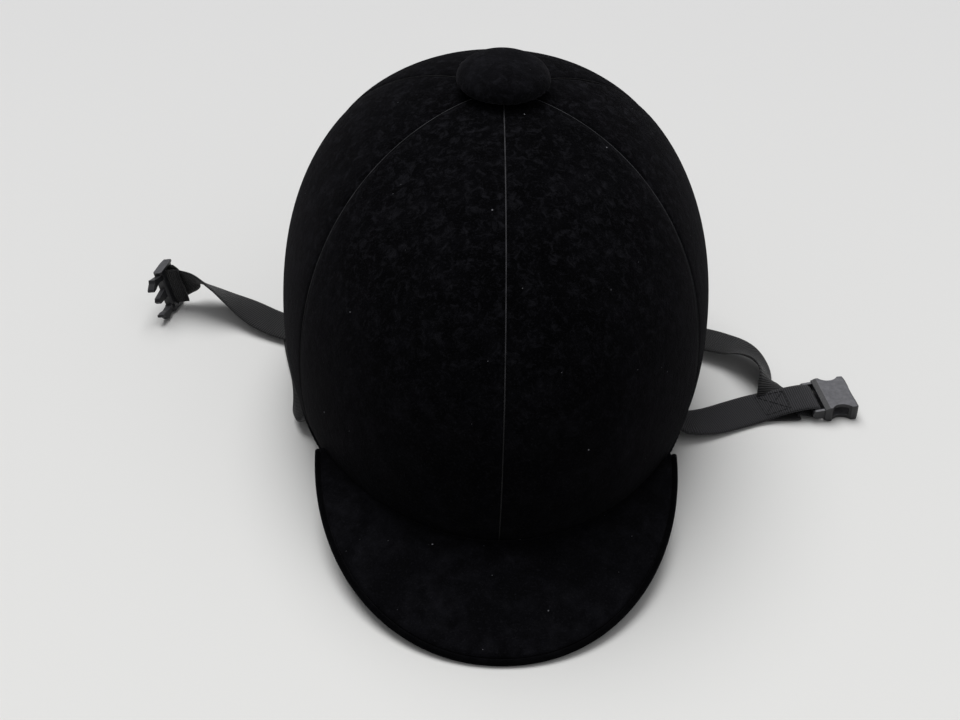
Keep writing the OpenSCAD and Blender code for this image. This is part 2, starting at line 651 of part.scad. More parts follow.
// Socket half: bar and rails round the webbing, then a flat housing with a waist and a flared mouth
socket_root = loop_out + 0.7;
plate_t = 1.7;
module buckle_socket() color(plastic_colour) at_socket() {
    rotate([90, 0, 0]) cylinder(h = 2 * rail_in + rail_t, r = bar_r, center = true, $fn = 48);
    for (side = [-1, 1]) translate([0, side * (rail_in + rail_t / 2), 0]) hull() {
        rotate([90, 0, 0]) cylinder(h = rail_t, r = bar_r + 0.6, center = true, $fn = 32);
        translate([socket_root + 1, 0, 0]) cube([1, rail_t, frame_t], center = true);
    }
    difference() {
        intersection() {
            linear_extrude(2 * socket_t, center = true) difference() {
                union() {
                    translate([socket_root, -socket_half_w]) square([socket_len - socket_root - 2, 2 * socket_half_w]);
                    translate([socket_len - 4, 0]) square([8, 2 * socket_half_w - 4], center = true);
                    for (side = [-1, 1]) translate([socket_len - 2, side * (socket_half_w - 2)])
                        circle(r = 2, $fn = 32);
                }
                for (side = [-1, 1]) translate([12.6, side * (socket_half_w + 3.6)]) circle(r = 6.2, $fn = 64);
                translate([socket_len + 30, 0]) circle(r = 30.6, $fn = 128);
            }
            rotate([90, 0, 0]) linear_extrude(4 * socket_half_w, center = true) polygon([
                [socket_root, -0.36 * socket_t], [socket_root + 2.4, -socket_t / 2], [socket_len - 1.2, -socket_t / 2],
                [socket_len, 1.2 - socket_t / 2], [socket_len, socket_t / 2 - 1.2], [socket_len - 1.2, socket_t / 2],
                [socket_root + 2.4, socket_t / 2], [socket_root, 0.36 * socket_t]
            ]);
        }
        translate([8, 1.4 - socket_half_w, plate_t - socket_t / 2])
            cube([socket_len, 2 * socket_half_w - 2.8, socket_t - 2 * plate_t]);
    }
}

// Prong half: ladder frame with two bars, a base and the centre guide
module buckle_prong_half() color(plastic_colour) at_ladder() {
    rotate([90, 0, 0]) cylinder(h = 2 * rail_in + 1, r = bar_r, center = true, $fn = 48);
    translate([rear_bar_x, 0, 0]) rotate([90, 0, 0]) cylinder(h = 2 * rail_in + 1, r = 1.3, center = true, $fn = 48);
    difference() {
        intersection() {
            linear_extrude(frame_t, center = true) difference() {
                union() {
                    translate([rear_bar_x, -prong_half_w]) square([base_end - rear_bar_x, 2 * prong_half_w]);
                    translate([rear_bar_x, 0]) square([2.6, 2 * rail_in], center = true);
                    for (side = [-1, 1]) translate([rear_bar_x, side * (prong_half_w - 1.3)]) circle(r = 1.3, $fn = 32);
                }
                translate([rear_bar_x - 3, -rail_in]) square([base_x - rear_bar_x + 3, 2 * rail_in]);
                for (side = [-1, 1]) translate([base_end, side * prong_root_y])
                    circle(r = prong_root_r + run_gap, $fn = 32);
            }
            rotate([90, 0, 0]) linear_extrude(4 * prong_half_w, center = true) polygon([
                [rear_bar_x - 2, -1.6], [-2, -frame_t / 2], [base_end - 1, -frame_t / 2], [base_end, 0.8 - frame_t / 2],
                [base_end, frame_t / 2 - 0.8], [base_end - 1, frame_t / 2], [-2, frame_t / 2], [rear_bar_x - 2, 1.6]
            ]);
        }
    }
    linear_extrude(2.8, center = true) polygon([
        [base_x + 1, -2.4], [base_end, -2.4], [base_end + 8.4, -1.6], [base_end + 9.6, 0],
        [base_end + 8.4, 1.6], [base_end, 2.4], [base_x + 1, 2.4]
    ]);
}

// Prong: springy arm with a wing that locks behind the socket's side wall; the upper one is turned over
module prong(side) at_ladder() rotate([90 * (1 + side), 0, 0]) linear_extrude(prong_t, center = true) {
    end = base_end + prong_len;
    translate([base_end, -prong_root_y]) circle(r = prong_root_r, $fn = 32);
    mirror([0, 1]) polygon([
        [base_end - 0.5, prong_root_y + 1.1], [end - 6.4, prong_half_w - 0.6],
        [end - 4.6, prong_half_w], [end - 3.6, prong_half_w - 1.5], [end - 0.6, prong_half_w - 3.4],
        [end, prong_half_w - 4.2], [end - 0.6, prong_half_w - 5], [end - 3.6, prong_half_w - 4.8],
        [end - 6.4, prong_root_y - 0.7], [base_end - 0.5, prong_root_y - 1.1]
    ]);
}
module upper_prong() color(plastic_colour) prong(1);
module lower_prong() color(plastic_colour) prong(-1);

shell();
gore_front_left();
gore_side_left();
gore_rear_left();
gore_rear_right();
gore_side_right();
gore_front_right();
button_velvet();
button_core();
button_screw();
button_washer();
peak_core();
peak_velvet();
peak_lining();
peak_piping();
rim_binding();
foam_liner();
lining();
crown_cushion();
headband();
strap_rivets();
rivet_washers();
front_tab_left();
rear_tab_left();
front_tab_right();
rear_tab_right();
front_strap_left();
rear_strap_left();
front_strap_right();
chin_strap_right();
buckle_socket();
buckle_prong_half();
upper_prong();
lower_prong();
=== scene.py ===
import math

import bmesh
import bpy
import numpy as np
from mathutils import Euler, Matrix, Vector, noise


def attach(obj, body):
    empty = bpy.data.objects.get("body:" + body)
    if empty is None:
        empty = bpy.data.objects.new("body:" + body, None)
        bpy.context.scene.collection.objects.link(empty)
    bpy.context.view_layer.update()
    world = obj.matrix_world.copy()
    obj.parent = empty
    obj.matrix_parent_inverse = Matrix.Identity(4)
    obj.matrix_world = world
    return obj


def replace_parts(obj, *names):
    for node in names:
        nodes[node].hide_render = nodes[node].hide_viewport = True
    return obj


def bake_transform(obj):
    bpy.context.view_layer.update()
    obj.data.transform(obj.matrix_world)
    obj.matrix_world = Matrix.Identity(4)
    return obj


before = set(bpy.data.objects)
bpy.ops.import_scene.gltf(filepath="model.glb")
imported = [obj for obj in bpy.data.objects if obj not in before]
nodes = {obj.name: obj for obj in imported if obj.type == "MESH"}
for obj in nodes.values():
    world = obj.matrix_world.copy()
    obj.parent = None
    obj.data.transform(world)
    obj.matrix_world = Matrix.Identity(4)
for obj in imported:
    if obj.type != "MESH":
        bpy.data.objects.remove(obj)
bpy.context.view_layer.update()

# Sizes in millimetres, as the frame has them. The crown's middle lies CROWN_Y behind the origin.
MM = 0.001
CROWN_Y = 31.5
RIM_H = 10.0
HALF_W, FRONT, REAR, CROWN_H, WIDEST = 103.3, 140.0, 129.0, 153.5, 38.4
BUTTON_BACK = 14.6
SWING_X = 90.5254  # where the straps fold over the rim
WEB_W, WEB_T = 20.0, 1.2
LOOP = 2.55
SOCKET = np.array([159.3, 21.7, 4.0])
SOCKET_TURN = math.radians(9)
LADDER = np.array([-170.0, 104.1, 12.2242])
LADDER_FWD = np.array([-0.258819, -0.965926, 0.0])
LADDER_BAR = np.array([-0.266245, 0.0713402, 0.961262])
LADDER_UP = np.array([-0.928507, 0.248793, -0.275637])


# ---- Mesh making ----

def show(name, points, faces, body=None, smooth=True):
    """A mesh piece from points in millimetres, riding on a body."""
    mesh = bpy.data.meshes.new(name)
    mesh.from_pydata([tuple(p) for p in np.asarray(points, float) * MM], [], [tuple(f) for f in faces])
    mesh.validate()
    mesh.polygons.foreach_set("use_smooth", [smooth] * len(mesh.polygons))
    piece = bpy.data.objects.new(name, mesh)
    bpy.context.scene.collection.objects.link(piece)
    if body:
        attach(piece, body)
    return piece


def outward(piece):
    """Turns all faces of a closed mesh to the outside."""
    form = bmesh.new()
    form.from_mesh(piece.data)
    bmesh.ops.recalc_face_normals(form, faces=form.faces)
    form.to_mesh(piece.data)
    form.free()
    return piece


def weld(piece, apart=0.00001):
    """Joins points of a mesh that lie on each other."""
    form = bmesh.new()
    form.from_mesh(piece.data)
    bmesh.ops.remove_doubles(form, verts=form.verts, dist=apart)
    bmesh.ops.recalc_face_normals(form, faces=form.faces)
    form.to_mesh(piece.data)
    form.free()
    return piece


def grid_faces(rows, cols, start=0, closed=False):
    """Faces of a grid of points, row after row; closed joins the last column to the first."""
    faces = []
    for r in range(rows - 1):
        for c in range(cols if closed else cols - 1):
            d = (c + 1) % cols
            faces.append((start + r * cols + c, start + r * cols + d,
                          start + (r + 1) * cols + d, start + (r + 1) * cols + c))
    return faces


def cloth_panel(name, outer, inner, body):
    """A thin closed piece between two grids of points of the same size."""
    rows, cols = outer.shape[:2]
    n = rows * cols
    faces = grid_faces(rows, cols) + [tuple(reversed(f)) for f in grid_faces(rows, cols, n)]
    rim = ([(0, c) for c in range(cols)] + [(r, cols - 1) for r in range(1, rows)]
           + [(rows - 1, c) for c in range(cols - 2, -1, -1)] + [(r, 0) for r in range(rows - 2, 0, -1)])
    for k, (r, c) in enumerate(rim):
        q, d = rim[(k + 1) % len(rim)]
        a, b = r * cols + c, q * cols + d
        faces.append((b, a, n + a, n + b))
    return outward(show(name, np.concatenate([outer.reshape(-1, 3), inner.reshape(-1, 3)]), faces, body))


def tube(name, rings, body, closed=False):
    """A piece swept through rings of points, capped at its ends unless it closes on itself."""
    rings = np.asarray(rings, float)
    rows, cols = rings.shape[:2]
    faces = grid_faces(rows, cols, closed=True)
    if closed:
        faces += [((rows - 1) * cols + c, (rows - 1) * cols + (c + 1) % cols, (c + 1) % cols, c)
                  for c in range(cols)]
    else:
        faces += [tuple(range(cols)), tuple(reversed(range((rows - 1) * cols, rows * cols)))]
    return outward(show(name, rings.reshape(-1, 3), faces, body))


def lathe(name, profile, centre, body, turns=96):
    """A piece turned round a vertical line from a closed profile of radius and height."""
    rings = []
    for k in range(turns):
        a = 2 * math.pi * k / turns
        rings.append([(centre[0] + r * math.cos(a), centre[1] + r * math.sin(a), centre[2] + z)
                      for r, z in profile])
    return tube(name, rings, body, closed=True)


def unit(v):
    v = np.asarray(v, float)
    return v / max(np.linalg.norm(v), 1e-9)


def smoothstep(f):
    g = np.clip(f, 0, 1)
    return g * g * (3 - 2 * g)


def wander(p, size, seed=0.0):
    """Smooth noise from -1 to 1 that changes over the given size in millimetres."""
    return noise.noise(Vector((p[0] / size + seed, p[1] / size - seed, p[2] / size + 2 * seed)))


# ---- The crown's form ----

def rim_z(th):
    return -RIM_H * smoothstep((np.sin(th) - 0.45) / 0.4)


def crown(th, z, inset=(0, 0, 0)):
    """Points on the crown at angles th and heights z above the side rim, set in by side, end and top insets."""
    th, z = np.broadcast_arrays(np.asarray(th, float), np.asarray(z, float))
    side, end, top = (np.broadcast_to(np.asarray(v, float), th.shape) for v in inset)
    h = CROWN_H - top
    up = np.clip((z - WIDEST) / (h - WIDEST), 0, 1)
    k = np.where(z < WIDEST, 1 - 0.056 * ((WIDEST - z) / WIDEST) ** 2, (1 - up ** 2.38) ** (1 / 2.11))
    length = np.where(np.sin(th) < 0, FRONT, REAR) - end
    x = (HALF_W - side) * (1 + 0.093 * np.sin(th)) * np.cos(th) * k
    y = length * np.sin(th) * k + BUTTON_BACK * up ** 1.5 + CROWN_Y
    return np.stack([x, y, z + RIM_H], axis=-1)


def crown_rows(low, top, n_low, n_up, last=90.0):
    """Heights from the rim to the top as (share of the way from the rim, height)."""
    below = [(i / n_low, None) for i in range(n_low)]
    above = [(None, WIDEST + (CROWN_H - top - WIDEST) * math.sin(math.radians(last * j / n_up)))
             for j in range(n_up + 1)]
    return below + above


def crown_grid(angles, rows, low, inset):
    """Grid of crown points; inset may be three numbers or a function of row and angles."""
    out = []
    for share, z in rows:
        height = (rim_z(angles) + low) * (1 - share) + WIDEST * share if z is None else np.full(len(angles), z)
        out.append(crown(angles, height, inset))
    return np.array(out)


# ---- Materials ----

def linear(code, alpha=1.0):
    """An sRGB hex colour as linear numbers."""
    out = []
    for k in (1, 3, 5):
        c = int(code[k:k + 2], 16) / 255
        out.append(c / 12.92 if c <= 0.04045 else ((c + 0.055) / 1.055) ** 2.4)
    return (*out, alpha)


NOISE, CELLS, BANDS = "ShaderNodeTexNoise", "ShaderNodeTexVoronoi", "ShaderNodeTexWave"
RANGE, MIX, MATH, BUMP = "ShaderNodeMapRange", "ShaderNodeMix", "ShaderNodeMath", "ShaderNodeBump"
PARTS, POINT = "ShaderNodeSeparateXYZ", "ShaderNodeTexCoord"


def add(tree, kind, inputs=None, out=0, **settings):
    """Adds a node with its settings; an input is a number, a colour or another node's output. Gives one output."""
    node = tree.nodes.new(kind)
    for key, value in settings.items():
        setattr(node, key, value)
    for key, value in (inputs or {}).items():
        if isinstance(value, bpy.types.NodeSocket):
            tree.links.new(value, node.inputs[key])
        else:
            node.inputs[key].default_value = value
    return node.outputs[out]


def blank(name, roughness, ior=1.5, metallic=0.0, **fixed):
    """A material with one shader: its tree, the shader and the point on the object in metres."""
    material = bpy.data.materials.new(name)
    material.use_nodes = True
    tree = material.node_tree
    tree.nodes.clear()
    skin = add(tree, "ShaderNodeBsdfPrincipled", {"Roughness": roughness, "Metallic": metallic})
    shader = skin.node
    if not metallic:
        shader.inputs["IOR"].default_value = ior
    for key, value in fixed.items():
        shader.inputs[key.replace("_", " ")].default_value = value
    tree.links.new(skin, tree.nodes.new("ShaderNodeOutputMaterial").inputs[0])
    return material, tree, shader, add(tree, POINT, out="Object")


def cotton_velvet(name, ground="#030304", bloom="#0e0e11", worn=(), dust=1.0, sheen=0.025):
    """Woven cotton velvet, dyed black. The short pile drinks light, shines grey at grazing angles, lies in
    soft patches where it was stroked, and holds lint."""
    material, tree, shader, where = blank(
        name, 0.95, 1.45, Sheen_Weight=sheen, Sheen_Roughness=0.45, Sheen_Tint=linear("#c4c2cc"),
        Specular_IOR_Level=0.02)
    # Patches about 26 mm wide where the pile was stroked, broken up by others 7 mm wide
    stroke = add(tree, NOISE, {"Vector": where, "Scale": 1 / (26 * MM), "Detail": 4.0, "Roughness": 0.62,
                               "Distortion": 0.8})
    patch = add(tree, NOISE, {"Vector": where, "Scale": 1 / (7 * MM), "Detail": 5.0, "Roughness": 0.65})
    both = add(tree, MATH, {0: add(tree, RANGE, {0: stroke, 1: 0.38, 2: 0.68}),
                            1: add(tree, RANGE, {0: patch, 1: 0.35, 2: 0.75})}, operation="MULTIPLY")
    # Crushed pile: paler crumbs 3 to 5 mm wide. They fade out below the upper half, which paints the crown paler
    # towards its top: painted light from above
    height = add(tree, RANGE, {0: add(tree, PARTS, {0: where}, 2), 1: 0.06, 2: 0.14, 3: 0.12})
    crumb = add(tree, NOISE, {"Vector": where, "Scale": 1 / (4.5 * MM), "Detail": 5.0, "Roughness": 0.75,
                              "Distortion": 0.6})
    crumb = add(tree, RANGE, {0: crumb, 1: 0.5, 2: 0.72, 4: 0.8})
    crumbs_and_top_light = add(tree, MATH, {0: crumb, 1: height}, operation="MULTIPLY")
    # Fine dust lies on the pile as pale grains about 1 mm apart
    grain = add(tree, NOISE, {"Vector": where, "Scale": 1 / (0.9 * MM), "Detail": 2.0, "Roughness": 0.7})
    grain = add(tree, RANGE, {0: grain, 1: 0.54, 2: 0.86, 4: 0.3 * dust})
    layers = [(both, bloom), (crumbs_and_top_light, "#1f1f23"), (grain, "#2c2c31")]
    for centre, radius, strength in worn:
        away = add(tree, "ShaderNodeVectorMath", {0: where, 1: tuple(np.array(centre) * MM)}, 1,
                   operation="DISTANCE")
        spot = add(tree, RANGE, {0: away, 1: radius * MM, 2: 0.25 * radius * MM, 4: strength})
        torn = add(tree, NOISE, {"Vector": where, "Scale": 1 / (2.2 * MM), "Detail": 4.0, "Roughness": 0.7})
        torn = add(tree, RANGE, {0: torn, 1: 0.42, 2: 0.6})
        layers.append((add(tree, MATH, {0: spot, 1: torn}, operation="MULTIPLY"), "#3c3b40"))
    # Lint: sparse pale specks about half a millimetre wide
    for size, keep in ((13.0, 0.5), (6.0, 0.7)):
        width = 0.036
        near = add(tree, CELLS, {"Vector": where, "Scale": 1 / (size * MM)})
        lot = add(tree, "ShaderNodeSeparateColor", {0: near.node.outputs["Color"]})
        share = add(tree, MATH, {0: add(tree, RANGE, {0: near, 1: width, 2: width * 0.4}),
                                 1: add(tree, RANGE, {0: lot, 1: keep, 2: keep + 0.02})}, operation="MULTIPLY")
        layers.append((add(tree, MATH, {0: share, 1: 0.75 * dust}, operation="MULTIPLY"), "#8e8e94"))
    colour = linear(ground)
    for share, tone in layers:
        colour = add(tree, MIX, {0: share, 6: colour, 7: linear(tone)}, 2, data_type="RGBA")
    tree.links.new(colour, shader.inputs["Base Color"])
    # The pile's tufts, drawn about 0.7 mm wide so that they show, over the lie of the nap
    tufts = add(tree, NOISE, {"Vector": where, "Scale": 1 / (0.7 * MM), "Detail": 2.0, "Roughness": 0.6})
    lie = add(tree, NOISE, {"Vector": where, "Scale": 1 / (5 * MM), "Detail": 3.0, "Roughness": 0.6})
    nap = add(tree, MATH, {0: lie, 1: 1.6, 2: tufts}, operation="MULTIPLY_ADD")
    tree.links.new(add(tree, BUMP, {"Strength": 0.55, "Distance": 0.0005, "Height": nap}), shader.inputs["Normal"])
    return material


def polyamide_webbing(name, thread, gap):
    """Woven polyamide webbing. Its ribs cross the strap about 1.1 mm apart and catch a dull shine; the
    edges are bound by a closer weave. It is drawn along the strap's own length and width."""
    material, tree, shader, where = blank(name, 0.6, 1.53, Sheen_Weight=0.06, Sheen_Roughness=0.5,
                                          Specular_IOR_Level=0.3)
    along = add(tree, "ShaderNodeUVMap", uv_map="weave")
    rib = add(tree, BANDS, {"Vector": along, "Scale": 0.314 / (1.1 * MM), "Distortion": 0.25, "Detail": 2.0,
                            "Detail Scale": 3.0}, 1, wave_type="BANDS", bands_direction="Y", wave_profile="SIN")
    warp = add(tree, BANDS, {"Vector": along, "Scale": 0.314 / (0.8 * MM), "Distortion": 0.3}, 1,
               wave_type="BANDS", bands_direction="X", wave_profile="SIN")
    weave = add(tree, MATH, {0: warp, 1: 0.35, 2: rib}, operation="MULTIPLY_ADD")
    edge = add(tree, MATH, {0: add(tree, PARTS, {0: along})}, operation="ABSOLUTE")
    rubbed = add(tree, NOISE, {"Vector": where, "Scale": 1 / (9 * MM), "Detail": 4.0, "Roughness": 0.6})
    rubbed = add(tree, RANGE, {0: rubbed, 1: 0.35, 2: 0.75, 4: 0.25})
    colour = linear(gap)
    for share, tone in ((add(tree, RANGE, {0: weave, 1: 0.45, 2: 1.1}), thread), (rubbed, "#2a2a2e"),
                        (add(tree, RANGE, {0: edge, 1: 8.4 * MM, 2: 9.2 * MM, 4: 0.5}), "#101012")):
        colour = add(tree, MIX, {0: share, 6: colour, 7: linear(tone)}, 2, data_type="RGBA")
    tree.links.new(colour, shader.inputs["Base Color"])
    tree.links.new(add(tree, BUMP, {"Strength": 0.9, "Distance": 0.0004, "Height": weave}), shader.inputs["Normal"])
    return material


def moulded_acetal(name, body="#1b1b1e", rub="#3a3a3e"):
    """Acetal, injection moulded in dark grey: a satin skin with a fine spark-eroded grain, rounded edges
    that are rubbed a little paler, and a painted highlight in a fine mottle on the face that lies upwards."""
    material, tree, shader, where = blank(name, 0.42, 1.48)
    soft = add(tree, "ShaderNodeBevel", {"Radius": 0.0005}, samples=6)
    bent = add(tree, "ShaderNodeVectorMath", {0: soft, 1: add(tree, "ShaderNodeNewGeometry", out="Normal")}, 1,
               operation="DOT_PRODUCT")
    haze = add(tree, NOISE, {"Vector": where, "Scale": 1 / (4 * MM), "Detail": 4.0, "Roughness": 0.6})
    # Painted highlight: the face that lies upwards is painted paler in a fine mottle, where light from behind shines
    # on it
    facing_up = add(tree, PARTS, {0: add(tree, POINT, out="Normal")}, 2)
    bloom = add(tree, NOISE, {"Vector": where, "Scale": 1 / (2.5 * MM), "Detail": 4.0, "Roughness": 0.7})
    painted_top_highlight = add(tree, MATH, {0: add(tree, RANGE, {0: facing_up, 1: 0.93, 2: 0.99}),
                               1: add(tree, RANGE, {0: bloom, 1: 0.3, 2: 0.7, 3: 0.45, 4: 0.95})},
                  operation="MULTIPLY")
    colour = linear(body)
    for share, tone in ((add(tree, RANGE, {0: haze, 1: 0.35, 2: 0.8, 4: 0.5}), "#28282b"),
                        (add(tree, RANGE, {0: bent, 1: 0.99, 2: 0.85, 4: 0.7}), rub), (painted_top_highlight, "#68686d")):
        colour = add(tree, MIX, {0: share, 6: colour, 7: linear(tone)}, 2, data_type="RGBA")
    tree.links.new(colour, shader.inputs["Base Color"])
    dull = add(tree, NOISE, {"Vector": where, "Scale": 1 / (1.5 * MM), "Detail": 3.0})
    tree.links.new(add(tree, RANGE, {0: dull, 1: 0.3, 2: 0.8, 3: 0.36, 4: 0.56}), shader.inputs["Roughness"])
    grain = add(tree, NOISE, {"Vector": where, "Scale": 1 / (0.25 * MM), "Detail": 2.0, "Roughness": 0.6})
    bump = add(tree, BUMP, {"Strength": 0.25, "Distance": 0.0001, "Height": grain, "Normal": soft})
    tree.links.new(bump, shader.inputs["Normal"])
    return material


def knitted_lining(name, yarn="#1e1e22"):
    """Brushed polyester knit. Fine wales about 1.2 mm apart, matt, with a faint sheen."""
    material, tree, shader, where = blank(name, 0.9, 1.5, Sheen_Weight=0.3, Sheen_Roughness=0.5)
    wales = add(tree, CELLS, {"Vector": where, "Scale": 1 / (1.2 * MM)})
    blotch = add(tree, NOISE, {"Vector": where, "Scale": 1 / (18 * MM), "Detail": 3.0})
    colour = linear(yarn)
    for share, tone in ((add(tree, RANGE, {0: wales, 1: 0.1, 2: 0.7}), "#0c0c0e"),
                        (add(tree, RANGE, {0: blotch, 1: 0.3, 2: 0.7, 4: 0.35}), "#2a2a2f")):
        colour = add(tree, MIX, {0: share, 6: colour, 7: linear(tone)}, 2, data_type="RGBA")
    tree.links.new(colour, shader.inputs["Base Color"])
    bump = add(tree, BUMP, {"Strength": 0.6, "Distance": 0.0003, "Height": wales}, invert=True)
    tree.links.new(bump, shader.inputs["Normal"])
    return material


def cotton_twill(name, yarn="#1b1b1e"):
    """Cotton twill. Diagonal ribs about 1 mm apart, matt, and rubbed paler where hands hold it."""
    material, tree, shader, where = blank(name, 0.85, 1.5, Sheen_Weight=0.2, Sheen_Roughness=0.5)
    twill = add(tree, BANDS, {"Vector": where, "Scale": 0.314 / (1.0 * MM), "Distortion": 0.4, "Detail": 1.0}, 1,
                wave_type="BANDS", bands_direction="DIAGONAL")
    rub = add(tree, NOISE, {"Vector": where, "Scale": 1 / (22 * MM), "Detail": 4.0})
    colour = linear("#0d0d0f")
    for share, tone in ((twill, yarn), (add(tree, RANGE, {0: rub, 1: 0.4, 2: 0.7, 4: 0.4}), "#2b2b2f")):
        colour = add(tree, MIX, {0: share, 6: colour, 7: linear(tone)}, 2, data_type="RGBA")
    tree.links.new(colour, shader.inputs["Base Color"])
    tree.links.new(add(tree, BUMP, {"Strength": 0.5, "Distance": 0.0002, "Height": twill}), shader.inputs["Normal"])
    return material


def bead_foam(name):
    """Expanded polystyrene. White beads about 3 mm wide, pressed into flat-sided cells with fine dark seams."""
    material, tree, shader, where = blank(name, 0.7, 1.4)
    gap = add(tree, CELLS, {"Vector": where, "Scale": 1 / (3.0 * MM)}, "Distance", feature="DISTANCE_TO_EDGE")
    seam = add(tree, RANGE, {0: gap, 1: 0.0, 2: 0.09})
    colour = add(tree, MIX, {0: seam, 6: linear("#c9c9c4"), 7: linear("#ecece8")}, 2, data_type="RGBA")
    tree.links.new(colour, shader.inputs["Base Color"])
    tree.links.new(add(tree, BUMP, {"Strength": 0.5, "Distance": 0.0004, "Height": seam}), shader.inputs["Normal"])
    return material


def moulded_black(name, body="#19191b", roughness=0.5):
    """ABS or rubber, moulded in black: a matt skin with flow marks and fine scratches."""
    material, tree, shader, where = blank(name, roughness, 1.52)
    flow = add(tree, NOISE, {"Vector": where, "Scale": 1 / (14 * MM), "Detail": 4.0, "Roughness": 0.6,
                             "Distortion": 1.2})
    colour = add(tree, MIX, {0: add(tree, RANGE, {0: flow, 1: 0.3, 2: 0.75}), 6: linear(body),
                             7: linear("#242427")}, 2, data_type="RGBA")
    tree.links.new(colour, shader.inputs["Base Color"])
    scratch = add(tree, NOISE, {"Vector": where, "Scale": 1 / (0.5 * MM), "Detail": 3.0})
    bump = add(tree, BUMP, {"Strength": 0.2, "Distance": 0.0001, "Height": scratch})
    tree.links.new(bump, shader.inputs["Normal"])
    return material


def plated_steel(name, tone="#b4b4b8", roughness=0.32):
    """Steel, zinc or nickel plated after turning: a bright skin with hairline marks and duller patches."""
    material, tree, shader, where = blank(name, roughness, metallic=1.0)
    drawn_out = add(tree, "ShaderNodeMapping", {0: where, 3: (1, 1, 30)})
    marks = add(tree, NOISE, {"Vector": drawn_out, "Scale": 900.0, "Detail": 2.0})
    dull = add(tree, NOISE, {"Vector": where, "Scale": 1 / (3 * MM), "Detail": 4.0})
    dull = add(tree, RANGE, {0: dull, 1: 0.35, 2: 0.7})
    colour = add(tree, MIX, {0: dull, 6: linear(tone), 7: linear("#8b8b8f")}, 2, data_type="RGBA")
    tree.links.new(colour, shader.inputs["Base Color"])
    tree.links.new(add(tree, RANGE, {0: dull, 3: roughness, 4: roughness + 0.2}), shader.inputs["Roughness"])
    tree.links.new(add(tree, BUMP, {"Strength": 0.15, "Distance": 0.0001, "Height": marks}), shader.inputs["Normal"])
    return material


def sewing_thread(name, tone, lint=0.0):
    """Spun polyester thread with twisted plies about 0.4 mm long. Towards the crown's top it carries pale lint in
    patches, which also stands for painted light from above.
    """
    material, tree, shader, where = blank(name, 0.7, 1.5, Sheen_Weight=0.05, Specular_IOR_Level=0.2)
    ply = add(tree, NOISE, {"Vector": where, "Scale": 1 / (0.4 * MM), "Detail": 1.0})
    # Paler towards the crown's top: lint, and painted light from above
    high = add(tree, RANGE, {0: add(tree, PARTS, {0: where}, 2), 1: 0.07, 2: 0.13, 4: lint})
    caught = add(tree, NOISE, {"Vector": where, "Scale": 1 / (6 * MM), "Detail": 3.0})
    caught = add(tree, RANGE, {0: caught, 1: 0.3, 2: 0.6, 3: 0.35})
    share = add(tree, MATH, {0: high, 1: caught}, operation="MULTIPLY")
    colour = linear("#08080a")
    for part, shade in ((ply, tone), (share, "#6a6a70")):
        colour = add(tree, MIX, {0: part, 6: colour, 7: linear(shade)}, 2, data_type="RGBA")
    tree.links.new(colour, shader.inputs["Base Color"])
    tree.links.new(add(tree, BUMP, {"Strength": 0.5, "Distance": 0.0002, "Height": ply}), shader.inputs["Normal"])
    return material


VELVET = cotton_velvet("crown_velvet", worn=(((-19, -46, 152), 6, 0.9), ((-58, -94, 26), 6, 0.6)))
# Paler copies of the crown velvet for the button and the peak: painted light where more light falls on them
LIT_BUTTON_VELVET = cotton_velvet("button_velvet", "#0a0a0c", "#1b1b1f", dust=0.8, sheen=0.05)
LIT_PEAK_VELVET = cotton_velvet("peak_velvet", "#08080a", "#1a1a1e", sheen=0.03)
TRIM_VELVET = cotton_velvet("trim_velvet", bloom="#0b0b0d", dust=0.4, sheen=0.04)
WEBBING = polyamide_webbing("strap_webbing", "#35353a", "#050506")
# A darker copy of the strap webbing: painted shade for the straps that lie in the hat's shadow
SHADED_WEBBING = polyamide_webbing("painted_shade_webbing", "#1a1a1c", "#040405")
ACETAL = moulded_acetal("buckle_acetal")
LINING = knitted_lining("lining_knit")
PADDING = knitted_lining("padding_cloth", "#1a1a1d")
TWILL = cotton_twill("under_peak_twill")
FOAM = bead_foam("foam_beads")
SHELL_ABS = moulded_black("shell_abs")
BUTTON_ABS = moulded_black("button_abs", "#1d1d20")
PEAK_RUBBER = moulded_black("peak_rubber", "#1c1c1e", 0.6)
ZINC = plated_steel("zinc_plated_steel")
NICKEL = plated_steel("nickel_plated_steel", "#a8a8ac", 0.28)
THREAD = sewing_thread("black_thread", "#1b1b1f")
DARK_THREAD = sewing_thread("rear_seam_thread", "#0a0a0c")
LINT_AND_LIGHT_THREAD = sewing_thread("lint_and_light_seam_thread", "#0a0a0c", 0.3)


def finish_with(piece, material):
    piece.data.materials.clear()
    piece.data.materials.append(material)
    return piece


def repaint(node, material):
    """Gives a node of the frame its full material in its own slots."""
    for k in range(max(1, len(nodes[node].material_slots))):
        if k < len(nodes[node].material_slots):
            nodes[node].material_slots[k].material = material
        else:
            nodes[node].data.materials.append(material)


# ---- Crown: six velvet gores drawn over the shell, pulled in along their seams ----

